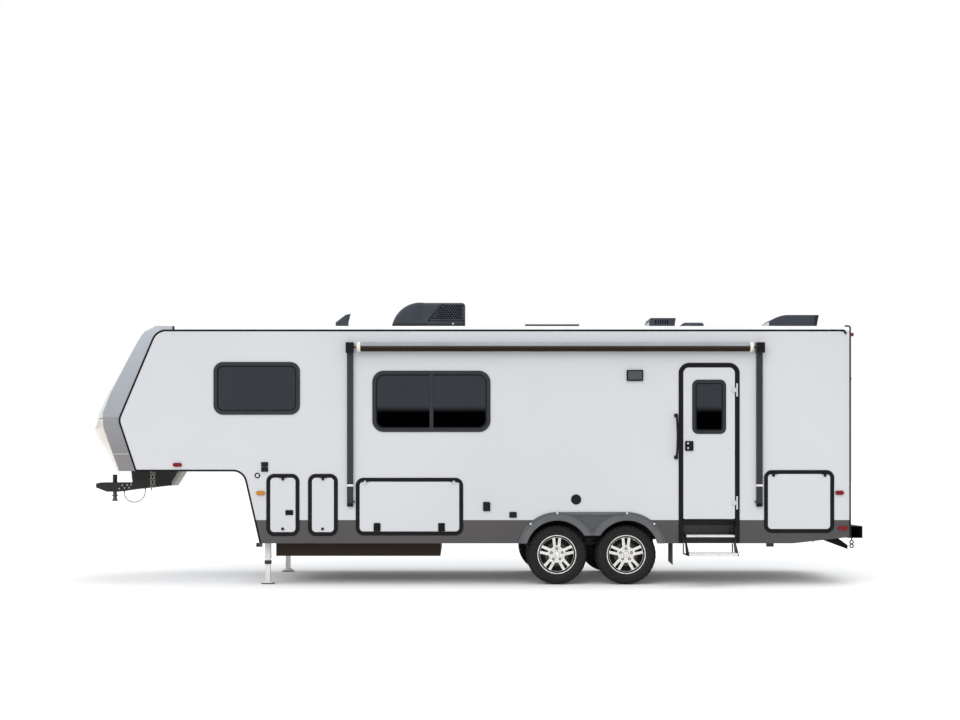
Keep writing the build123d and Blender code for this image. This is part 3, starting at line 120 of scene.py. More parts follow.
sky_light = 0.66
sky_tint = (0.97, 0.985, 1.0, 1)
world = bpy.data.worlds.new("white_sky")
world.use_nodes = True
bpy.context.scene.world = world
tree = world.node_tree
straight = add(tree, "ShaderNodeLightPath").outputs["Is Camera Ray"]
level = add(
    tree, "ShaderNodeMath", {0: straight, 1: 1 - sky_light, 2: sky_light}, operation="MULTIPLY_ADD"
)
tint = add(tree, "ShaderNodeMixRGB", {0: straight, 1: sky_tint, 2: white})
tree.links.new(tint.outputs[0], tree.nodes["Background"].inputs["Color"])
tree.links.new(level.outputs[0], tree.nodes["Background"].inputs["Strength"])

# name, where its light comes from, irradiance in watts a square metre, its breadth in degrees
for name, source, strength, breadth in [
    ("key_lamp", (-0.35, -0.75, 0.55), 1.2, 50),
    ("top_lamp", (0.3, 0.05, 1.0), 0.8, 50),
]:
    lamp_data = bpy.data.lights.new(name, "SUN")
    lamp_data.energy = strength
    lamp_data.angle = math.radians(breadth)
    lamp = bpy.data.objects.new(name, lamp_data)
    lamp.rotation_euler = Vector(source).to_track_quat("Z", "Y").to_euler()
    bpy.context.scene.collection.objects.link(lamp)

# Chassis and running gear
# Welded steel beams, axles and leaf springs in black chassis paint, dusty and a little rough, bolted or
# welded under the floor, with a brown-black corrugated sheet closing the belly.


def linear(code):
    """An sRGB hex colour as the linear values that a shader takes."""
    parts = [int(code[i:i + 2], 16) / 255 for i in (1, 3, 5)]
    return [c / 12.92 if c <= 0.04045 else ((c + 0.055) / 1.055) ** 2.4 for c in parts] + [1.0]


def new_finish(name, colours, patch, rough, grain=0, depth=0, edge=3, **sockets):
    """A material whose colour and gloss drift over patches of one size, with a bump of a finer grain and
    softened edges. Patch, grain, depth and edge are in millimetres."""
    finish = bpy.data.materials.new(name)
    finish.use_nodes = True
    tree = finish.node_tree
    shader = tree.nodes["Principled BSDF"]
    for socket, value in sockets.items():
        shader.inputs[socket.replace("_", " ")].default_value = value
    place = add(tree, "ShaderNodeTexCoord").outputs["Object"]
    drift = add(tree, "ShaderNodeTexNoise", {"Vector": place, "Scale": 1 / (patch * mm), "Detail": 5.0})
    spread = add(tree, "ShaderNodeMapRange", {0: drift.outputs[0], 1: 0.35, 2: 0.65})
    first, second = linear(colours[0]), linear(colours[1])
    shade = add(tree, "ShaderNodeMixRGB", {0: spread.outputs[0], 1: first, 2: second})
    gloss = add(tree, "ShaderNodeMapRange", {0: drift.outputs[0], 1: 0.3, 2: 0.7, 3: rough[0], 4: rough[1]})
    tree.links.new(shade.outputs[0], shader.inputs["Base Color"])
    tree.links.new(gloss.outputs[0], shader.inputs["Roughness"])
    normal = add(tree, "ShaderNodeBevel", {"Radius": edge * mm}, samples=4)
    if grain:
        grit = add(tree, "ShaderNodeTexNoise", {"Vector": place, "Scale": 1 / (grain * mm), "Detail": 3.0})
        normal = add(
            tree,
            "ShaderNodeBump",
            {"Height": grit.outputs[0], "Distance": depth * mm, "Strength": 1.0, "Normal": normal.outputs[0]},
        )
    tree.links.new(normal.outputs[0], shader.inputs["Normal"])
    return finish


def object_place(tree):
    """A node that gives the place of a shaded point, apart on three axes."""
    return add(tree, "ShaderNodeSeparateXYZ", {0: add(tree, "ShaderNodeTexCoord").outputs["Object"]})


def paint(finish, colour, station=None, width=None, height=None, **sockets):
    """Changes a finish's colour and other sockets between limits in station, width and height. A limit that
    isn't given is open."""
    tree = finish.node_tree
    shader = tree.nodes["Principled BSDF"]
    place = object_place(tree)
    inside = None
    for axis, limits in enumerate((station, width, height)):
        if limits is None:
            continue
        start, end = [at(limit, limit, limit)[axis] for limit in limits]
        span = {0: place.outputs[axis], 1: (start + end) / 2, 2: abs(end - start) / 2}
        test = add(tree, "ShaderNodeMath", span, operation="COMPARE").outputs[0]
        if inside is not None:
            test = add(tree, "ShaderNodeMath", {0: inside, 1: test}, operation="MULTIPLY").outputs[0]
        inside = test
    old = shader.inputs["Base Color"].links[0].from_socket
    mix = add(tree, "ShaderNodeMixRGB", {0: inside, 1: old, 2: linear(colour)})
    tree.links.new(mix.outputs[0], shader.inputs["Base Color"])
    for socket, value in sockets.items():
        target = shader.inputs[socket.replace("_", " ")]
        old = target.links[0].from_socket if target.links else target.default_value
        mix = add(tree, "ShaderNodeMix", {0: inside, 2: old, 3: value})
        tree.links.new(mix.outputs[0], target)


def dress(finish, *nodes):
    """Puts a finish on CAD nodes."""
    for name in nodes:
        for slot in cad[name].material_slots:
            slot.material = finish


# brushed-on paint, dull with road dust
chassis_paint = new_finish(
    "black_chassis_paint", ("#151413", "#211f1c"), 160, (0.45, 0.7), 9, 0.3, Specular_IOR_Level=0.4
)
dress(chassis_paint, "chassis_frame", "axles", "leaf_springs", "rear_bumper")
# dipped paint, a deeper black that hardly shines
jack_paint = new_finish(
    "black_jack_paint", ("#080808", "#0e0d0d"), 90, (0.45, 0.6), 6, 0.2, Specular_IOR_Level=0.15
)
dress(jack_paint, "stabilizer_jacks")
# extruded plastic sheet, brown with dirt and softly uneven
belly_sheet = new_finish(
    "black_corrugated_polypropylene",
    ("#20170f", "#302318"),
    420,
    (0.5, 0.75),
    14,
    0.5,
    Specular_IOR_Level=0.3,
)
dress(belly_sheet, "basement_pan", "wheel_wells")

# Floor decks
# Plywood floors screwed down on the frame, hardly seen behind the tinted glass. The edge under the entry
# door is painted black and shows over the step.
sill_black = "#0b0b0b"
sill_station = (2500, 3340)
sill_width = (-1240, -900)
sill_height = (540, 830)
# peeled veneer, warm and matt
deck_ply = new_finish("birch_plywood", ("#7d6a52", "#95815f"), 90, (0.6, 0.8), 5, 0.15)
paint(deck_ply, sill_black, sill_station, sill_width, sill_height)
dress(deck_ply, "floor_decks")

# Tyres
# Radial trailer tyres of black rubber: a moulded sidewall with a rim guard and raised rings, a ribbed tread
# and notched shoulder blocks. Each sits on its rim's beads.
wheel_stations = {"front": 1085, "rear": 1934}
wheel_sides = {"door_side": -1, "far_side": 1}
wheel_width = 1052
wheel_height = 369
tyre_steps = 144
notch_every = 4
notch_depth = 11
tread_radius = 343
# radius and distance from the tyre's middle, from the bead to the tread's middle; True on notched points
tyre_profile = [
    (216.6, 60, False), (216.6, 98, False), (238.6, 98.4, False), (243, 102.5, False), (248, 106, False),
    (254, 107, False), (258, 105.2, False), (268, 107.6, False), (285, 110.6, False), (287, 107.4, False),
    (291, 107.4, False), (293, 111.2, False), (308, 111.6, False), (324, 109.6, False), (326, 106, False),
    (330, 105.8, False), (332, 108.6, False), (341, 106.4, False), (344, 106.4, True), (357, 102, True),
    (363.5, 95, True), (366, 84, True), (366.6, 61, False), (357, 59, False), (357, 49, False),
    (367, 47.5, False), (367.4, 25, False), (359, 23.5, False), (359, 13.5, False), (368.4, 12, False),
    (369, 0, False),
]


def smooth_mesh(name, bm, sharp=32):
    """A mesh from a bmesh, with outward normals, smooth but for its sharp edges."""
    bmesh.ops.recalc_face_normals(bm, faces=bm.faces)
    mesh = bpy.data.meshes.new(name)
    bm.to_mesh(mesh)
    bm.free()
    mesh.shade_smooth()
    mesh.set_sharp_from_angle(angle=math.radians(sharp))
    return mesh


def new_piece(name, mesh, finish, body="trailer", stands_for=()):
    """A piece of one mesh that rides on a body and may stand for CAD nodes."""
    piece = bpy.data.objects.new(name, mesh)
    bpy.context.scene.collection.objects.link(piece)
    if finish:
        mesh.materials.append(finish)
    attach(piece, body)
    if stands_for:
        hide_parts(*stands_for)
    return piece


def ring_faces(bm, rings, closed=True):
    """Quads between rows of points, each row a closed ring. The rows may close on each other too."""
    rows = [[bm.verts.new(point) for point in ring] for ring in rings]
    pairs = list(zip(rows, rows[1:] + rows[:1])) if closed else list(zip(rows, rows[1:]))
    for row, following in pairs:
        for i in range(len(row)):
            j = (i + 1) % len(row)
            bm.faces.new((row[i], row[j], following[j], following[i]))
    return rows


# cut rubber, matt from the road
tread_rubber = new_finish(
    "tread_rubber", ("#0f0f10", "#151516"), 30, (0.6, 0.8), 2, 0.2, Specular_IOR_Level=0.25
)
# moulded rubber, with a faint sheen on its raised rings
tyre_rubber = new_finish(
    "tyre_rubber", ("#0d0e0f", "#161717"), 60, (0.45, 0.65), 3, 0.15, Specular_IOR_Level=0.3
)
whole_profile = tyre_profile + [(r, -y, notched) for r, y, notched in reversed(tyre_profile[:-1])]
for end, station in wheel_stations.items():
    for side_name, side in wheel_sides.items():
        rings = []
        for i in range(tyre_steps):
            angle = 2 * math.pi * i / tyre_steps
            ring = []
            for radius, out, notched in whole_profile:
                r = radius - (notch_depth if notched and i % notch_every == 0 else 0)
                x, z = station + r * math.sin(angle), wheel_height + r * math.cos(angle)
                ring.append(at(x, side * (wheel_width + out), z))
            rings.append(ring)
        bm = bmesh.new()
        ring_faces(bm, rings)
        name = f"tyre_{end}_{side_name}"
        mesh = smooth_mesh(f"moulded_{name}", bm)
        new_piece(f"moulded_{name}", mesh, tyre_rubber, f"wheel_{end}_{side_name}", (name,))
        mesh.materials.append(tread_rubber)
        hub = at(station, side * wheel_width, wheel_height)
        for face in mesh.polygons:
            from_hub = math.hypot(face.center.x - hub.x, face.center.z - hub.z)
            face.material_index = int(from_hub > tread_radius * mm)

# Rims
# Cast aluminium wheels painted black and then machined bright on the spoke faces and the lip, over a dark
# iron brake, held by five plated hexagon nuts.
face_plane = 1139.5
face_slack = 4
drum_plane = 1100
lip_plane = 1147
lip_inside = 227
hub_cap = 60
facing = 0.9
pocket_black = "#060606"
drum_grey = "#2e3033"
bright_metallic = 0.95
# turned metal, bright where it faces out, with black paint left in the pockets
alloy = new_finish(
    "machined_aluminium", ("#c2bdb6", "#efedea"), 22, (0.1, 0.2), edge=1.5, Metallic=bright_metallic
)
tree = alloy.node_tree
shader = tree.nodes["Principled BSDF"]
normal = add(tree, "ShaderNodeSeparateXYZ", {0: add(tree, "ShaderNodeNewGeometry").outputs["True Normal"]})
flat = add(tree, "ShaderNodeMath", {0: normal.outputs[1]}, operation="ABSOLUTE")
flat = add(tree, "ShaderNodeMath", {0: flat.outputs[0], 1: facing}, operation="GREATER_THAN")
place = object_place(tree)
depth = add(tree, "ShaderNodeMath", {0: place.outputs[1]}, operation="ABSOLUTE").outputs[0]
front = add(
    tree, "ShaderNodeMath", {0: depth, 1: (face_plane - face_slack) * mm}, operation="GREATER_THAN"
)
bright = add(tree, "ShaderNodeMath", {0: flat.outputs[0], 1: front.outputs[0]}, operation="MULTIPLY")
level = add(tree, "ShaderNodeCombineXYZ", {0: place.outputs[0], 2: place.outputs[2]}).outputs[0]
reach = None
for station in wheel_stations.values():
    hub = at(station, 0, wheel_height)
    away = add(tree, "ShaderNodeVectorMath", {0: level, 1: hub}, operation="DISTANCE").outputs["Value"]
    if reach is not None:
        away = add(tree, "ShaderNodeMath", {0: reach, 1: away}, operation="MINIMUM").outputs[0]
    reach = away
spoke = add(tree, "ShaderNodeMath", {0: depth, 1: lip_plane * mm}, operation="LESS_THAN")
lip = add(tree, "ShaderNodeMath", {0: reach, 1: lip_inside * mm}, operation="GREATER_THAN")
middle = add(tree, "ShaderNodeMath", {0: reach, 1: hub_cap * mm}, operation="LESS_THAN")
for part in (lip, middle):
    spoke = add(tree, "ShaderNodeMath", {0: spoke.outputs[0], 1: part.outputs[0]}, operation="MAXIMUM")
bright = add(tree, "ShaderNodeMath", {0: bright.outputs[0], 1: spoke.outputs[0]}, operation="MULTIPLY")
behind = add(tree, "ShaderNodeMath", {0: depth, 1: drum_plane * mm}, operation="LESS_THAN")
drum = add(tree, "ShaderNodeMath", {0: flat.outputs[0], 1: behind.outputs[0]}, operation="MULTIPLY")
pocket = add(tree, "ShaderNodeMixRGB", {0: drum.outputs[0], 1: linear(pocket_black), 2: linear(drum_grey)})
metal = shader.inputs["Base Color"].links[0].from_socket
shade = add(tree, "ShaderNodeMixRGB", {0: bright.outputs[0], 1: pocket.outputs[0], 2: metal})
tree.links.new(shade.outputs[0], shader.inputs["Base Color"])
shine = add(tree, "ShaderNodeMath", {0: bright.outputs[0], 1: bright_metallic}, operation="MULTIPLY")
tree.links.new(shine.outputs[0], shader.inputs["Metallic"])
dress(alloy, *[f"rim_{end}_{side_name}" for end in wheel_stations for side_name in wheel_sides])

# one tree for every field of like small pieces: a cylinder of some sides on each point, spun at random
stud_seed = 7
studs_tree = bpy.data.node_groups.new("stud_field", "GeometryNodeTree")
studs_tree.interface.new_socket("Geometry", in_out="OUTPUT", socket_type="NodeSocketGeometry")
for name, kind in [
    ("Geometry", "NodeSocketGeometry"), ("Sides", "NodeSocketInt"), ("Radius", "NodeSocketFloat"),
    ("Height", "NodeSocketFloat"), ("Turn", "NodeSocketVector"), ("Seed", "NodeSocketInt"),
    ("Finish", "NodeSocketMaterial"),
]:
    studs_tree.interface.new_socket(name, in_out="INPUT", socket_type=kind)
given = add(studs_tree, "NodeGroupInput").outputs
stud = add(
    studs_tree,
    "GeometryNodeMeshCylinder",
    {"Vertices": given["Sides"], "Radius": given["Radius"], "Depth": given["Height"]},
)
spin = add(
    studs_tree,
    "FunctionNodeRandomValue",
    {0: (0, 0, 0), 1: (0, 0, 2 * math.pi), "Seed": given["Seed"]},
    data_type="FLOAT_VECTOR",
)
spread = add(
    studs_tree,
    "GeometryNodeInstanceOnPoints",
    {"Points": given["Geometry"], "Instance": stud.outputs["Mesh"], "Rotation": given["Turn"]},
)
spread = add(
    studs_tree,
    "GeometryNodeRotateInstances",
    {"Instances": spread.outputs[0], "Rotation": spin.outputs[0], "Local Space": True},
)
real = add(studs_tree, "GeometryNodeRealizeInstances", {0: spread.outputs[0]})
painted = add(studs_tree, "GeometryNodeSetMaterial", {0: real.outputs[0], "Material": given["Finish"]})
add(studs_tree, "NodeGroupOutput", {0: painted.outputs[0]})
sideways = (math.radians(90), 0, 0)
rearwards = (0, math.radians(90), 0)
upright = (0, 0, 0)


def studs(name, places, sides, radius, height, finish, slot, body="trailer", turn=sideways):
    """A piece of like studs, one on each place."""
    points = bpy.data.meshes.new(name)
    points.from_pydata([tuple(place) for place in places], [], [])
    holder = bpy.data.objects.new(name, points)
    bpy.context.scene.collection.objects.link(holder)
    modifier = holder.modifiers.new("studs", "NODES")
    modifier.node_group = studs_tree
    values = {
        "Sides": sides, "Radius": radius * mm, "Height": height * mm, "Turn": turn, "Seed": stud_seed,
        "Finish": finish,
    }
    for item in studs_tree.interface.items_tree:
        if item.in_out == "INPUT" and item.name in values:
            modifier[item.identifier] = values[item.name]
    graph = bpy.context.evaluated_depsgraph_get()
    mesh = bpy.data.meshes.new_from_object(holder.evaluated_get(graph))
    bpy.data.objects.remove(holder)
    return new_piece(f"{name}_set", mesh, None, body)


plate_sides = 48
plate_radius = 205
plate_plane = 1033
plate_thick = 6
# rough sand-cast iron, dark with brake dust
cast_iron = new_finish("grey_iron_backing_plate", ("#0c0c0d", "#161616"), 40, (0.6, 0.8), 4, 0.1)
plate_places = [
    at(station, side * plate_plane, wheel_height) for station in wheel_stations.values() for side in (-1, 1)
]
studs("brake_backing_plates", plate_places, plate_sides, plate_radius, plate_thick, cast_iron, "frame_steel")

nut_count = 5
nut_circle = 70
nut_size = 12
seat_sides = 20
seat_radius = 17
seat_thick = 3
hexagon = 6
# plated steel, a soft grey shine
plated_steel = new_finish("zinc_plated_steel", ("#9a9c9e", "#b4b5b6"), 20, (0.25, 0.4), edge=1, Metallic=0.9)
# the rim's black paint in the shade of each nut
seat_black = new_finish(
    "black_nut_seat", ("#060606", "#0a0a0a"), 10, (0.5, 0.6), edge=1, Specular_IOR_Level=0.1
)
for end, station in wheel_stations.items():
    for side_name, side in wheel_sides.items():
        nut_places = []
        for n in range(nut_count):
            angle = math.radians(90 + 360 / nut_count * n)
            x, z = station + nut_circle * math.cos(angle), wheel_height + nut_circle * math.sin(angle)
            nut_places.append(at(x, side * face_plane, z))
        name = f"{end}_{side_name}"
        body = f"wheel_{name}"
        seat = (seat_sides, seat_radius, seat_thick)
        studs(f"nut_seats_{name}", nut_places, *seat, seat_black, "black_plastic", body)
        studs(f"lug_nuts_{name}", nut_places, hexagon, nut_size, nut_size, plated_steel, "alloy", body)

# Coupling
# A welded pin box in black paint with a forged king pin turned to size, a grey-painted brace behind it and
# bolts through the arm. A safety chain and the breakaway cable's loop hang from it.
# forged and turned steel, brown-grey with wear
forged_steel = new_finish("worn_forged_steel", ("#4a4744", "#6b6762"), 25, (0.3, 0.5), Metallic=1.0)
dress(forged_steel, "king_pin")
brace_grey = "#b3aea4"
# station and height of each step of the brace's slope
brace_steps = [(-3842, 1226), (-3822, 1258), (-3802, 1291), (-3782, 1324), (-3762, 1357)]
brace_half = 151
brace_length = 140
brace_below = 26
brace_above = 40
# sprayed paint on welded plate, dull black
box_paint = new_finish(
    "black_pin_box_paint", ("#100f0e", "#1b1a18"), 140, (0.4, 0.6), 8, 0.2, Specular_IOR_Level=0.35
)
for x, z in brace_steps:
    brace_height = (z - brace_below, z + brace_above)
    paint(box_paint, brace_grey, (x, x + brace_length), (-brace_half, brace_half), brace_height)
dress(box_paint, "pin_box")
arm_face = -152
bolt_radius = 11
bolt_height = 12
# station and height of each bolt
arm_bolts = [(-4520, 1160), (-4480, 1205), (-4450, 1168), (-4415, 1208), (-4392, 1172), (-4365, 1210)]
bolt_places = [at(x, arm_face, z) for x, z in arm_bolts]
studs("pin_arm_bolts", bolt_places, hexagon, bolt_radius, bolt_height, plated_steel, "bare_steel")

chain_station = -4070
chain_top = 1352
chain_face = -216
link_pitch = 37
link_wire = 5.5
link_half = 17
link_narrow = 0.8
link_long = 1.5
link_steps = 12
wire_steps = 6
bm = bmesh.new()
# place of each hanging strand beside the chain's middle, and its links
for strand, count in ((-19, 6), (19, 5)):
    for n in range(count):
        rings = []
        for i in range(link_steps):
            around = 2 * math.pi * i / link_steps
            ring = []
            for j in range(wire_steps):
                about = 2 * math.pi * j / wire_steps
                r = link_half + link_wire * math.cos(about)
                flat, deep = r * math.sin(around) * link_narrow, link_wire * math.sin(about)
                if n % 2:
                    flat, deep = deep, flat
                x, z = chain_station + strand + flat, chain_top - n * link_pitch
                ring.append(at(x, chain_face + deep, z + r * math.cos(around) * link_long))
            rings.append(ring)
        ring_faces(bm, rings)
# hot-dipped zinc, pale and dull
chain_steel = new_finish("galvanised_chain", ("#8d8880", "#b0aaa0"), 12, (0.35, 0.5), edge=1, Metallic=0.6)
new_piece("safety_chain", smooth_mesh("safety_chain", bm, 60), chain_steel)

cable_width = -140
coupler_height = 1120
# station and height over the coupler of each point of the cable's route
cable_route = [
    (-4456, 0), (-4456, -46), (-4432, -92), (-4388, -126), (-4328, -138),
    (-4268, -126), (-4218, -90), (-4184, -30), (-4184, 34),
]
cable_diameter = 10
cable_curve = bpy.data.curves.new("breakaway_cable", "CURVE")
cable_curve.dimensions = "3D"
cable_curve.bevel_depth = cable_diameter / 2 * mm
cable_curve.bevel_resolution = 4
cable_curve.use_fill_caps = True
spline = cable_curve.splines.new("NURBS")
spline.points.add(len(cable_route) - 1)
for point, (x, rise) in zip(spline.points, cable_route):
    point.co = (*at(x, cable_width, coupler_height + rise), 1)
spline.order_u = 3
spline.use_endpoint_u = True
spline.resolution_u = 8
# extruded vinyl sheath, softly shining
cable_sheath = new_finish("black_cable_sheath", ("#141414", "#1e1d1c"), 30, (0.45, 0.6), edge=1)
cable_curve.materials.append(cable_sheath)
cable = bpy.data.objects.new("breakaway_cable", cable_curve)
bpy.context.scene.collection.objects.link(cable)
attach(cable, "trailer")
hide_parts("pin_cable")

# Landing legs
# Square steel drop legs in pale grey paint, with a black collar where the inner tube slides and a pressed
# foot with a dark worn edge.
collar_black = "#0e0e0e"
collar_height = (246, 290)
foot_grey = "#2a2a2a"
foot_height = (-5, 13)
worn_rough = 0.5
# sprayed enamel, clean and half glossy
leg_paint = new_finish("pale_grey_leg_paint", ("#e2e1dd", "#efeeea"), 70, (0.35, 0.5), 6, 0.1)
paint(leg_paint, collar_black, height=collar_height, Roughness=worn_rough)
paint(leg_paint, foot_grey, height=foot_height, Roughness=worn_rough)
dress(leg_paint, "landing_leg_tubes", "landing_leg_feet")

# Walls
# Flat laminated panels with a white gel-coat skin, very slightly wavy, bonded to the frame, with a black
# vinyl bead pressed into the joint all round each side.
# polished resin skin, bright with a soft reflection
gel_coat = new_finish("white_gel_coat", ("#d1d2d5", "#d6d7da"), 2600, (0.16, 0.22), 700, 0.6, edge=4)
dress(gel_coat, "door_side_wall", "far_side_wall", "neck_wall", "slide_room")
skirt_grey = "#454242"
rear_foot = (400, 793)
rear_foot_rough = 0.38
rear_coat = gel_coat.copy()
rear_coat.name = "white_gel_coat_rear_wall"
paint(rear_coat, skirt_grey, height=rear_foot, Roughness=rear_foot_rough)
dress(rear_coat, "rear_wall")
knob_place = (4675, 1180, 2520)
knob_sides = 16
knob_size = 14
# moulded nylon, matt black
knob_black = new_finish("black_knob", ("#0c0c0c", "#121212"), 20, (0.4, 0.5), edge=2)
knob_places = [at(knob_place[0], side * knob_place[1], knob_place[2]) for side in (-1, 1)]
knob = (knob_sides, knob_size, knob_size)
studs("rear_knobs", knob_places, *knob, knob_black, "black_plastic", turn=rearwards)
wall_half = 1220


def rounded_path(corners, step=12):
    """Points along a line with round corners, from station, height and radius at each corner."""
    points = [Vector(corners[0][:2])]
    for before, corner, after in zip(corners, corners[1:], corners[2:]):
        here, radius = Vector(corner[:2]), corner[2]
        back = (Vector(before[:2]) - here).normalized()
        on = (Vector(after[:2]) - here).normalized()
        half_angle = back.angle(on) / 2
        reach = radius / math.tan(half_angle)
        centre = here + (back + on).normalized() * radius / math.sin(half_angle)
        start, end = here + back * reach - centre, here + on * reach - centre
        turn = start.angle_signed(end)
        for n in range(step + 1):
            points.append(centre + Matrix.Rotation(-turn * n / step, 2) @ start)
    points.append(Vector(corners[-1][:2]))
    return points


def strip(bm, path, width, proud, side, face=wall_half):
    """A low half-round bead along a path on one side wall."""
    rows = []
    section = [(-0.5, -1), (-0.5, 0.3 * proud), (-0.28, 0.85 * proud), (0, proud), (0.28, 0.85 * proud)]
    section += [(0.5, 0.3 * proud), (0.5, -1)]
    for i, point in enumerate(path):
        ahead = path[min(i + 1, len(path) - 1)] - path[max(i - 1, 0)]
        across = Vector((-ahead.y, ahead.x)).normalized() * width
        ring = []
        for share, out in section:
            x, z = point + across * share
            ring.append(at(x, side * (face + out), z))
        rows.append(ring)
    ends = ring_faces(bm, rows, closed=False)
    bm.faces.new(ends[0])
    bm.faces.new(ends[-1])


# width and proud of each bead, then station, height and radius of each corner of its path
beads = [
    (23, 7, [
        (-2536, 512, 0), (-2739, 1397, 164), (-4056, 1397, 25), (-4263, 2015, 150), (-3803, 3106, 172),
        (4560, 3106, 0),
    ]),
    (19, 7, [(4592, 3160, 0), (4657, 3160, 26), (4657, 590, 0)]),
    (26, 12, [(4540, 3106, 0), (4586, 3104, 24), (4606, 3064, 0)]),
    (24, 6, [(-3596, 3108, 0), (-3596, 3158, 0)]),
]
bm = bmesh.new()
for side in (-1, 1):
    for width, proud, bead_corners in beads:
        strip(bm, rounded_path(bead_corners), width, proud, side)
# extruded vinyl, deep black with a low sheen
black_vinyl = new_finish(
    "black_vinyl_bead", ("#0c0e10", "#141618"), 400, (0.4, 0.5), edge=2, Specular_IOR_Level=0.15
)
new_piece("wall_joint_beads", smooth_mesh("wall_joint_beads", bm), black_vinyl)

# Front cap
# A moulded fibreglass nose in pearl white between silver side flanks, with a fine seam low down and a painted
# shadow line over the nose; the silver has painted shade under the nose. It is laid up in one mould and
# bonded to the walls' front edges.
flank_inside = 1122
pearl_width = (-flank_inside, flank_inside)
cream = "#ddd3c6"
cream_height = (1300, 2010)
shadow_grey = "#3b3e42"
shadow_height = (2030, 2044)
seam_grey = "#c4c4c5"
seam_height = (1596, 1604)
silver_foot = 1391
silver_top = 3222
# height and colour of each stop of the silver, with painted shade: darker under the nose and towards its
# foot, lighter towards the top
silver_shade_stops = [
    (1590, "#838081"), (2048, "#929396"), (2058, "#a0a3a8"), (2600, "#a6abb1"), (3150, "#b5bac1"),
]
# sprayed pearl over polished resin, bright and smooth
cap_coat = new_finish("pearl_gel_coat", ("#f1f0ee", "#e9e8e6"), 1500, (0.16, 0.24), 600, 0.4, edge=18)
paint(cap_coat, cream, width=pearl_width, height=cream_height)
tree = cap_coat.node_tree
shader = tree.nodes["Principled BSDF"]
place = object_place(tree)
silver_range = {0: place.outputs[2], 1: at(0, 0, silver_foot).z, 2: at(0, 0, silver_top).z}
rise = add(tree, "ShaderNodeMapRange", silver_range)
silver = add(tree, "ShaderNodeValToRGB", {0: rise.outputs[0]})
for height, colour in silver_shade_stops:
    stop = silver.color_ramp.elements.new((height - silver_foot) / (silver_top - silver_foot))
    stop.color = linear(colour)
for end in (0, -1):
    neighbour = silver.color_ramp.elements[1 if end == 0 else -2]
    silver.color_ramp.elements[end].color = neighbour.color
width = add(tree, "ShaderNodeMath", {0: place.outputs[1]}, operation="ABSOLUTE")
flank = add(tree, "ShaderNodeMath", {0: width.outputs[0], 1: flank_inside * mm}, operation="GREATER_THAN")
pearl = shader.inputs["Base Color"].links[0].from_socket
shade = add(tree, "ShaderNodeMixRGB", {0: flank.outputs[0], 1: pearl, 2: silver.outputs[0]})
tree.links.new(shade.outputs[0], shader.inputs["Base Color"])
paint(cap_coat, shadow_grey, width=pearl_width, height=shadow_height)
paint(cap_coat, seam_grey, height=seam_height)
nose_foot = (-4054, 1391)
nose_top = (-4256, 2015)
brow_line = (-3799, 3104)
nose_cuts = range(1420, 3100, 35)
merge_gap = 0.1
cap_sharp = 24
# height, crease ahead of the wall's edge, moulded middle ahead of the crease, and the solid cap's own middle
nose_levels = [
    (1391, 227, 215, 278), (1560, 234, 234, 300), (1660, 238, 258, 312), (1770, 241, 314, 344),
    (1850, 243, 330, 367), (1925, 245, 326, 388), (1985, 250, 288, 375), (2045, 257, 252, 362),
    (2102, 262, 247, 350), (2338, 268, 230, 285), (2560, 246, 198, 271), (2833, 219, 182, 255),
    (3010, 192, 200, 235), (3104, 165, 215, 215),
]


def between(z, table, column):
    """A column of a table of heights, read at a height."""
    for low, high in zip(table, table[1:]):
        if z <= high[0]:
            share = (z - low[0]) / (high[0] - low[0])
            return low[column] + share * (high[column] - low[column])
    return table[-1][column]


def wall_edge(z):
    """The station of the side walls' front edge at a height."""
    foot, top = (nose_foot, nose_top) if z < nose_top[1] else (nose_top, brow_line)
    return foot[0] + (z - foot[1]) / (top[1] - foot[1]) * (top[0] - foot[0])


bm = bmesh.new()
bm.from_mesh(cad["front_cap"].data)
bmesh.ops.remove_doubles(bm, verts=bm.verts, dist=merge_gap * mm)
for cut in nose_cuts:
    whole = bm.verts[:] + bm.edges[:] + bm.faces[:]
    bmesh.ops.bisect_plane(bm, geom=whole, plane_co=at(0, 0, cut), plane_no=(0, 0, 1))
for vert in bm.verts:
    z = (vert.co.z - ground) / mm
    crease = at(wall_edge(z) - between(z, nose_levels, 1), 0, 0).x
    ahead = crease - vert.co.x
    if ahead > 0 and nose_foot[1] <= z < brow_line[1]:
        vert.co.x = crease - ahead * between(z, nose_levels, 2) / between(z, nose_levels, 3)
mesh = bpy.data.meshes.new("moulded_front_cap")
bm.to_mesh(mesh)
bm.free()
mesh.shade_smooth()
mesh.set_sharp_from_angle(angle=math.radians(cap_sharp))
mesh.materials.clear()
new_piece("moulded_front_cap", mesh, cap_coat, stands_for=("front_cap",))

# Roof
# A white rubber membrane glued over the crowned deck and turned down at the edges, where the walls' bead
# covers it.
# calendered rubber sheet, chalky white
membrane = new_finish("white_roof_membrane", ("#f6f6f5", "#fdfdfc"), 600, (0.55, 0.7), 12, 0.3)
dress(membrane, "roof")

# Skirts and flares
# Painted dark grey aluminium skirts along the foot of the walls, with black hanger brackets, and grey
# moulded flares screwed over the wheel openings. Brown rubber flaps hang behind the wheels.
bracket_black = "#161616"
bracket_stations = [(-2600, -2545), (3630, 3740)]
bracket_height = (450, 508.5)
# rolled and painted sheet, even and half matt
skirt_paint = new_finish("dark_grey_skirt_paint", (skirt_grey, "#4a4746"), 900, (0.36, 0.46), 6, 0.05)
for station in bracket_stations:
    paint(skirt_paint, bracket_black, station, height=bracket_height)
dress(skirt_paint, "skirts")
# painted shade: the flares' recessed web between the arches is painted darker grey than the proud lips
web_shade_grey = "#4a4c4f"
web_station = (1100, 1920)
web_width = (-1231, 1231)
web_height = (600, 892)
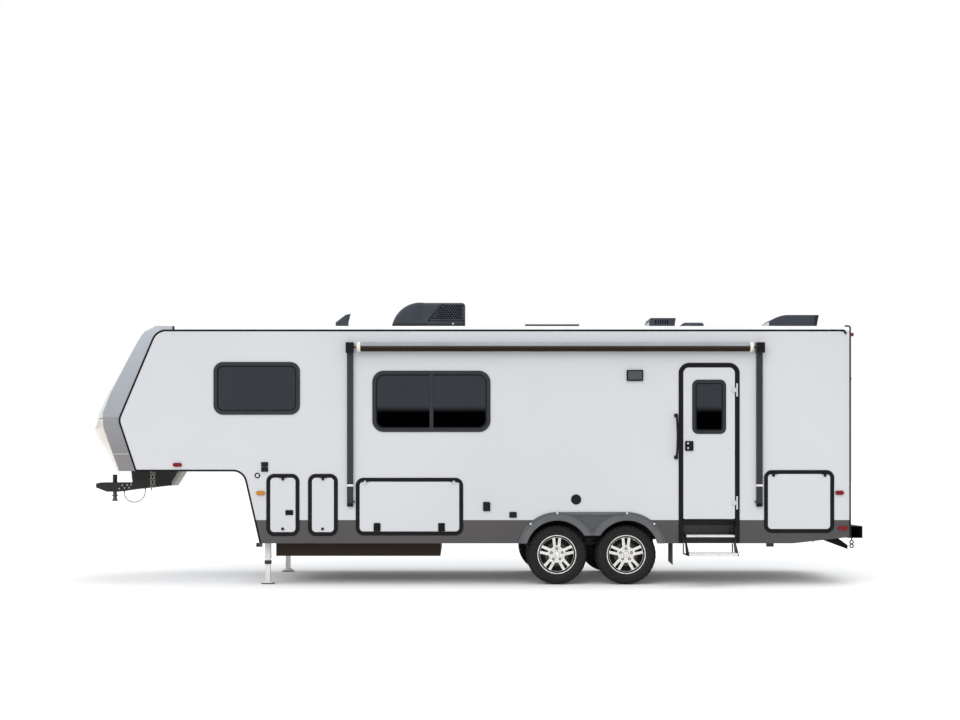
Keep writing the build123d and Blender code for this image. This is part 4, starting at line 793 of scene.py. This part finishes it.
# moulded plastic with a fine grain, grey and matt
flare_plastic = new_finish("grey_moulded_flare", ("#545659", "#606265"), 300, (0.42, 0.55), 3, 0.06, edge=9)
paint(flare_plastic, web_shade_grey, web_station, web_width, web_height)
dress(flare_plastic, "fender_flares")
screw_face = 1240
screw_sides = 12
screw_radius = 12
screw_height = 10
# station and height of each screw
flare_screws = [(1085, 876), (759, 747), (1933, 876), (2266, 747)]
screw_places = [at(x, side * screw_face, z) for x, z in flare_screws for side in (-1, 1)]
# moulded nylon, clean white
screw_cap = new_finish("white_nylon_screw_cap", ("#f4f4f2", "#fbfbfa"), 10, (0.3, 0.4), edge=1)
screw = (screw_sides, screw_radius, screw_height)
studs("flare_screws", screw_places, *screw, screw_cap, "white_plastic")
# pressed rubber sheet, brown with road dust
flap_rubber = new_finish("brown_flap_rubber", ("#574c42", "#675c50"), 80, (0.6, 0.8), 4, 0.1)
dress(flap_rubber, "mud_flaps")

# Windows
# Dark tinted safety glass in black clamp frames, bedded in a rubber gasket. On the living window and the door
# the glass has a painted reflection: below a soft line it is painted black and its mirror is taken off.
# extruded rubber, the deepest black on the wall
gasket_rubber = new_finish(
    "black_gasket_rubber", ("#070707", "#0b0b0b"), 200, (0.5, 0.6), edge=1, Specular_IOR_Level=0.2
)
# baked powder on aluminium, grey-black and satin
window_coat = new_finish(
    "grey_black_powder_coat",
    ("#1e2125", "#24272b"),
    300,
    (0.35, 0.45),
    2,
    0.04,
    edge=5,
    Specular_IOR_Level=0.35,
)
dress(window_coat, "window_frames", "entry_door_window_frame", "slide_window_frame")
# the same powder in a fuller black
frame_coat = new_finish(
    "black_powder_coat", ("#08090a", "#0d0e0f"), 300, (0.4, 0.5), 2, 0.04, edge=5, Specular_IOR_Level=0.18
)
dress(frame_coat, "locker_frames")
glass_look = (("#22252b", "#262930"), 900, (0.03, 0.05))
glass_shade_black = "#010101"
dark_from = 2200
dark_to = 2100
glass_shade_front = -1600
glass_mirror = 0.5
# float glass, tinted through, with a clean mirror on its face
tinted_glass = new_finish("dark_tinted_glass", *glass_look, edge=1)
painted_reflection_glass = new_finish("dark_tinted_glass_painted_reflection", *glass_look, edge=1)
# painted reflection: aft of the bedroom and below a soft line the glass is painted black and its mirror taken
# off, so only the upper glass reflects the sky
tree = painted_reflection_glass.node_tree
shader = tree.nodes["Principled BSDF"]
place = object_place(tree)
fade = {0: place.outputs[2], 1: at(0, 0, dark_from).z, 2: at(0, 0, dark_to).z}
dark = add(tree, "ShaderNodeMapRange", fade, interpolation_type="SMOOTHSTEP")
aft = {0: place.outputs[0], 1: at(glass_shade_front, 0, 0).x}
aft = add(tree, "ShaderNodeMath", aft, operation="GREATER_THAN")
dark = add(tree, "ShaderNodeMath", {0: dark.outputs[0], 1: aft.outputs[0]}, operation="MULTIPLY")
tint = shader.inputs["Base Color"].links[0].from_socket
shade = add(tree, "ShaderNodeMixRGB", {0: dark.outputs[0], 1: tint, 2: linear(glass_shade_black)})
tree.links.new(shade.outputs[0], shader.inputs["Base Color"])
mirror = add(tree, "ShaderNodeMapRange", {0: dark.outputs[0], 3: glass_mirror, 4: 0.0})
tree.links.new(mirror.outputs[0], shader.inputs["Specular IOR Level"])
dress(painted_reflection_glass, "window_panes", "entry_door_pane")
dress(tinted_glass, "slide_window_pane")


def loop_path(x0, x1, z0, z1, radius):
    """A closed round-cornered path, from the middle of its foot."""
    middle = (x0 + x1) / 2
    corners = [(x1, z0, radius), (x1, z1, radius), (x0, z1, radius), (x0, z0, radius)]
    return rounded_path([(middle, z0, 0)] + corners + [(middle, z0, 0)])


gasket_width = 14
gasket_proud = 3
inset = gasket_width / 2
# piece, station from and to, height from and to, corner radius, width of its glass face, body and sides
for name, x0, x1, z0, z1, radius, face, body, sides in [
    ("bedroom_gaskets", -3061, -2099, 2124, 2675, 71, 1224, "trailer", (-1, 1)),
    ("living_gasket", -1125, 224, 1913, 2568, 94, 1224, "trailer", (-1,)),
    ("door_gasket", 2771, 3102, 1884, 2464, 33, 1226, "entry_door", (-1,)),
]:
    bm = bmesh.new()
    for side in sides:
        path = loop_path(x0 + inset, x1 - inset, z0 + inset, z1 - inset, radius)
        strip(bm, path, gasket_width, gasket_proud, side, face)
    new_piece(name, smooth_mesh(name, bm), gasket_rubber, body)

# Storage lockers
# Insulated doors with the wall's own skin, hung from their top edges in black frames, with black moulded
# paddles and catches that stand proud of the skin.
paddle_black = "#0a0b0c"
paddle_rough = 0.4
paddle_mirror = 0.15
paddle_planes = (1225, 1400)
locker_foot = 400
# stations of a stretch of lockers and the height up to which their fittings are black
fitting_stretches = [(-2600, -1500, 1500), (-1500, 3000, 1000), (3000, 4700, 1500)]
leaf_coat = gel_coat.copy()
leaf_coat.name = "white_gel_coat_door"
for side in (-1, 1):
    paddle_width = [side * plane for plane in paddle_planes]
    for start, end, top in fitting_stretches:
        limits = ((start, end), paddle_width, (locker_foot, top))
        paint(leaf_coat, paddle_black, *limits, Roughness=paddle_rough, Specular_IOR_Level=paddle_mirror)
dress(leaf_coat, "front_locker_door", "utility_locker_door", "pass_through_door", "rear_locker_door")
dress(leaf_coat, "far_pass_through_door")

# Entry door
# A flush door in a black frame on two bright aluminium hinges, with a black paddle lock and a bowed grab bar.
# The grab bar is screwed to the wall beside the door.
# painted shade: the hinge straps on the door panel are painted a little darker than the skin, so they show no
# brighter than the door
strap_shade_grey = "#cccdd0"
strap_station = (3190, 3290)
strap_width = (-1300, -1228)
hinge_silver = "#e4e4e2"
hinge_station = (3250, 3330)
hinge_width = (-1400, -1231)
hinge_height = (820, 2600)
door_coat = gel_coat.copy()
door_coat.name = "white_gel_coat_entry_door"
paint(door_coat, strap_shade_grey, strap_station, strap_width)
dress(door_coat, "entry_door_panel")
door_frame_coat = frame_coat.copy()
door_frame_coat.name = "black_powder_coat_door_frame"
paint(door_frame_coat, hinge_silver, hinge_station, hinge_width, hinge_height, Metallic=0.3, Roughness=0.35)
dress(door_frame_coat, "entry_door_frame")
# moulded nylon with a fine grain, satin black
latch_plastic = new_finish(
    "black_moulded_latch", ("#0a0a0b", "#111213"), 40, (0.4, 0.5), 2, 0.05, edge=2, Specular_IOR_Level=0.2
)
dress(latch_plastic, "entry_door_latch", "grab_handle")
latch_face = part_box("entry_door_latch")[0].y / mm
key_station = 2674
key_heights = (1728, 1671)
key_sides = 20
key_radius = 10
key_proud = 2.4
key_places = [at(key_station, latch_face, z) for z in key_heights]
# plated key cylinders, bright spots on the black lock
key_nickel = new_finish("bright_nickel", ("#e2e2e2", "#f0f0f0"), 10, (0.25, 0.35), edge=1, Metallic=0.3)
key = (key_sides, key_radius, key_proud)
studs("door_lock_keys", key_places, *key, key_nickel, "bare_steel", "entry_door")

# Awning
# Slate-painted aluminium arms with white joint collars and black ends, bolted to the wall, carrying a roller
# of vinyl cloth: grey outside and brown on the wrapped edge, with cream end caps.
joint_white = "#e6e6e4"
joint_width = (-1300, -1200)
joint_height = (1203, 1229)
end_black = "#0d0e0f"
end_heights = [(940, 1000), (2830, 2960)]
end_mirror = 0.15
# sprayed paint on an extrusion, even and satin
arm_coat = new_finish(
    "slate_arm_paint", ("#25272a", "#2d2f33"), 400, (0.35, 0.45), 2, 0.03, edge=6, Specular_IOR_Level=0.35
)
paint(arm_coat, joint_white, width=joint_width, height=joint_height)
for height in end_heights:
    paint(arm_coat, end_black, height=height, Specular_IOR_Level=end_mirror)
dress(arm_coat, "awning_arms")
roller_foot = 2800
# colour of the cloth from the roller's foot up to a height
cloth_bands = [("#474443", 2907), ("#2b1a0e", 2891)]
cap_cream = "#efe9d8"
cap_stations = [(-1360, -1309), (3415, 3460)]
# coated cloth, matt with a fine weave
roller_cloth = new_finish(
    "vinyl_awning_cloth", ("#979ba1", "#a1a5ab"), 300, (0.5, 0.62), 3, 0.08, Specular_IOR_Level=0.15
)
for colour, top in cloth_bands:
    paint(roller_cloth, colour, height=(roller_foot, top))
for station in cap_stations:
    paint(roller_cloth, cap_cream, station)
dress(roller_cloth, "awning_roller")

# Roof equipment
# Moulded slate-grey covers screwed through the membrane: an air conditioner with side grilles, a louvred
# fan vent, a flat lid, a long vent with a black back, a fin, and a white skylight on a dark curb.
back_black = "#0c0d0e"
back_station = (4490, 4600)
cooler_shade = "#14171b"
cooler_station = (-1000, 0)
cooler_foot = (3150, 3285)
# painted shade: the fan vent's louvre slots are painted black for the dark inside behind them
louvre_shade_black = "#030303"
louvre_station = (2420, 2604)
louvre_width = (-204, 204)
louvre_height = (3280, 3356)
clear_grey = "#c4c9cc"
clear_stations = [(3840, 3900), (2290, 2350)]
clear_height = (3100, 3320)
# moulded plastic, slate grey and satin, with the pale fronts of two vents
roof_plastic = new_finish(
    "slate_roof_moulding", ("#2a3039", "#333a44"), 300, (0.3, 0.42), 4, 0.08, edge=8, Specular_IOR_Level=0.4
)
paint(roof_plastic, back_black, back_station)
paint(roof_plastic, cooler_shade, cooler_station, height=cooler_foot)
paint(roof_plastic, louvre_shade_black, louvre_station, louvre_width, louvre_height, Specular_IOR_Level=0.0)
for station in clear_stations:
    paint(roof_plastic, clear_grey, station, height=clear_height)
dress(roof_plastic, "air_conditioner", "roof_covers")


def add_block(bm, low, high, ease):
    """A block between two corners with eased edges."""
    made = bmesh.ops.create_cube(bm, size=1)["verts"]
    start, end = at(*low), at(*high)
    for vert in made:
        vert.co = Vector([(start[i] + end[i]) / 2 + vert.co[i] * (end[i] - start[i]) for i in range(3)])
    edges = {edge for vert in made for edge in vert.link_edges}
    bmesh.ops.bevel(bm, geom=list(edges), offset=ease * mm, segments=3, affect="EDGES", profile=0.5)


fin_half = 26
# station and height of each corner of the fin's moulded foot
fin_outline = [
    (-1726, 3218), (-1722, 3332), (-1590, 3432), (-1545, 3440), (-1574, 3390), (-1560, 3334), (-1546, 3218),
]
bm = bmesh.new()
ends = ring_faces(bm, [[at(x, y, z) for x, z in fin_outline] for y in (-fin_half, fin_half)], closed=False)
for end in ends:
    bm.faces.new(end)
new_piece("fin_base", smooth_mesh("fin_base", bm), roof_plastic)
lid_low = (2790, -200, 3200)
lid_high = (3064, 200, 3314)
lid_ease = 32
bm = bmesh.new()
add_block(bm, lid_low, lid_high, lid_ease)
new_piece("vent_lid", smooth_mesh("vent_lid", bm), roof_plastic)
curb_black = "#0b0c0d"
curb_height = (3100, 3287)
# moulded acrylic, milky white
lid_plastic = new_finish("white_skylight_moulding", ("#e6e6e4", "#f0f0ee"), 200, (0.3, 0.4))
paint(lid_plastic, curb_black, height=curb_height)
dress(lid_plastic, "roof_skylight")

hole_pitch = 30
row_pitch = hole_pitch * 0.87
hole_radius = 12.5
hole_thick = 1.6
grille_face = 332
grille_front = -446
grille_back = -82
grille_foot = 3352
grille_top = 3512
grille_slant = 0.8
hole_places = []
for row in range(int((grille_top - grille_foot) / row_pitch) + 1):
    z = grille_foot + row * row_pitch
    front = grille_front + (z - grille_foot) * grille_slant
    x = grille_back - (hole_pitch / 2 if row % 2 else 0)
    while x > front:
        for side in (-1, 1):
            hole_places.append(at(x, side * grille_face, z))
        x -= hole_pitch
# painted shade: black for the unlit inside of the cover seen through its holes, and for the creases of its
# panel lines
grille_shade_black = new_finish(
    "painted_shade_grille_holes", ("#010101", "#030303"), 30, (0.8, 0.9), Specular_IOR_Level=0.0
)
studs("grille_holes", hole_places, hexagon, hole_radius, hole_thick, grille_shade_black, "black_plastic")
cooler_half = 340
seam_width = 9
seam_proud = 1.2
seam_foot = (-38, 3318)
seam_turn = (-505, 3318)
seam_top = (-310, 3540)
bm = bmesh.new()
for side in (-1, 1):
    for path in ((seam_foot, seam_turn), (seam_turn, seam_top)):
        strip(bm, [Vector(point) for point in path], seam_width, seam_proud, side, cooler_half)
new_piece("cooler_crease_shades", smooth_mesh("cooler_crease_shades", bm), grille_shade_black)
cooler_screw = (-188, 3281)
cooler_screw_radius = 9
cooler_screw_height = 4
screw_places = [at(cooler_screw[0], side * cooler_half, cooler_screw[1]) for side in (-1, 1)]
screw = (screw_sides, cooler_screw_radius, cooler_screw_height)
studs("cooler_screws", screw_places, *screw, screw_cap, "white_plastic")

# Lamps and fittings
# Red and amber moulded lenses with fine vertical flutes, a porch lamp, sockets, a fresh-water port and
# switches, all screwed to the skin over butyl tape.
lens_pitch = 6
flute_depth = 0.4
# a wave texture of scale 1 has a wave every 1/20 of a unit
waves_a_unit = 20
# moulded acrylic, clear-coloured with a hard shine
for name, colours, node in [
    ("red_lens", ("#720b12", "#861018"), "red_lamps"),
    ("amber_lens", ("#bd7c2a", "#c98b36"), "amber_lamps"),
]:
    lens = new_finish(name, colours, 20, (0.12, 0.2), edge=3, Specular_IOR_Level=0.25)
    tree = lens.node_tree
    place = add(tree, "ShaderNodeTexCoord").outputs["Object"]
    flutes = add(tree, "ShaderNodeTexWave", {"Vector": place, "Scale": 1 / (lens_pitch * mm) / waves_a_unit})
    old = tree.nodes["Principled BSDF"].inputs["Normal"].links[0].from_socket
    bump = add(
        tree, "ShaderNodeBump", {"Height": flutes.outputs[1], "Distance": flute_depth * mm, "Normal": old}
    )
    tree.links.new(bump.outputs[0], tree.nodes["Principled BSDF"].inputs["Normal"])
    dress(lens, node)
porch_grey = "#4e5156"
porch_station = (1944, 2116)
porch_width = (-1300, -1251)
porch_height = (2503, 2609)
porch_rough = 0.3
port_white = "#ececec"
port_station = (-2589, -2555)
port_width = (-1226, -1200)
port_height = (1320, 1354)
# moulded plastic with a fine grain, satin black
fitting_plastic = new_finish(
    "black_moulded_fitting", ("#0c0d0e", "#141517"), 40, (0.4, 0.55), 2, 0.05, edge=3, Specular_IOR_Level=0.2
)
paint(fitting_plastic, porch_grey, porch_station, porch_width, porch_height, Roughness=porch_rough)
paint(fitting_plastic, port_white, port_station, port_width, port_height)
dress(fitting_plastic, "wall_fittings")

# Entry step
# A folding steel step in black paint, hung in a housing under the door, with two bright pressed aluminium
# treads, punched with raised grips.
# sprayed paint on folded sheet, dull black
step_paint = new_finish("black_step_paint", ("#101010", "#1a1918"), 120, (0.4, 0.6), 6, 0.15)
dress(step_paint, "step_frame")
housing_station = (2612, 3262)
housing_back = (-1176, -1168)
housing_front = -1236
housing_height = (508, 735)
cheek_top = 700
cheek_thick = 8
sheet_ease = 2
rail_stations = (2612, 3210)
rail_thick = 14
rail_front = -1606
rail_foot = 380
rail_ease = 3
low_back, high_back = zip(housing_station, housing_back, housing_height)
bm = bmesh.new()
add_block(bm, low_back, high_back, sheet_ease)
for x in (housing_station[0], housing_station[1] - cheek_thick):
    cheek_end = (x + cheek_thick, housing_back[0], cheek_top)
    add_block(bm, (x, housing_front, housing_height[0]), cheek_end, sheet_ease)
for x in rail_stations:
    rail_end = x + rail_thick
    rail_low = (x, rail_front, rail_foot)
    add_block(bm, rail_low, (rail_end, housing_front, rail_foot + rail_thick), rail_ease)
    post_low = (x, housing_front - rail_thick, rail_foot)
    add_block(bm, post_low, (rail_end, housing_front, housing_height[0]), rail_ease)
new_piece("step_housing", smooth_mesh("step_housing", bm), step_paint)
lip_black = "#1a1a1a"
lip_width = (-1430, -1412)
lip_height = (575, 595)
# pressed sheet, bright and lightly brushed
tread_metal = new_finish("bright_tread_aluminium", ("#dcdcdc", "#ececec"), 60, (0.35, 0.5), Metallic=0.2)
paint(tread_metal, lip_black, width=lip_width, height=lip_height, Metallic=0.0)
dress(tread_metal, "step_treads")
grip_rows = 4
grip_columns = 13
grip_start = 2654
grip_pitch = 44
grip_stagger = 18
grip_row_pitch = 42
grip_inset = 30
grip_sides = 12
grip_radius = 9
grip_height = 4
grip_places = []
# front edge and height of each tread
for front, height in ((1420, 616), (1610, 411)):
    for row in range(grip_rows):
        y = -front + grip_inset + row * grip_row_pitch
        for column in range(grip_columns):
            x = grip_start + column * grip_pitch + (row % 2) * grip_stagger
            grip_places.append(at(x, y, height))
grip = (grip_sides, grip_radius, grip_height)
studs("step_grips", grip_places, *grip, tread_metal, "tread_aluminium", turn=upright)
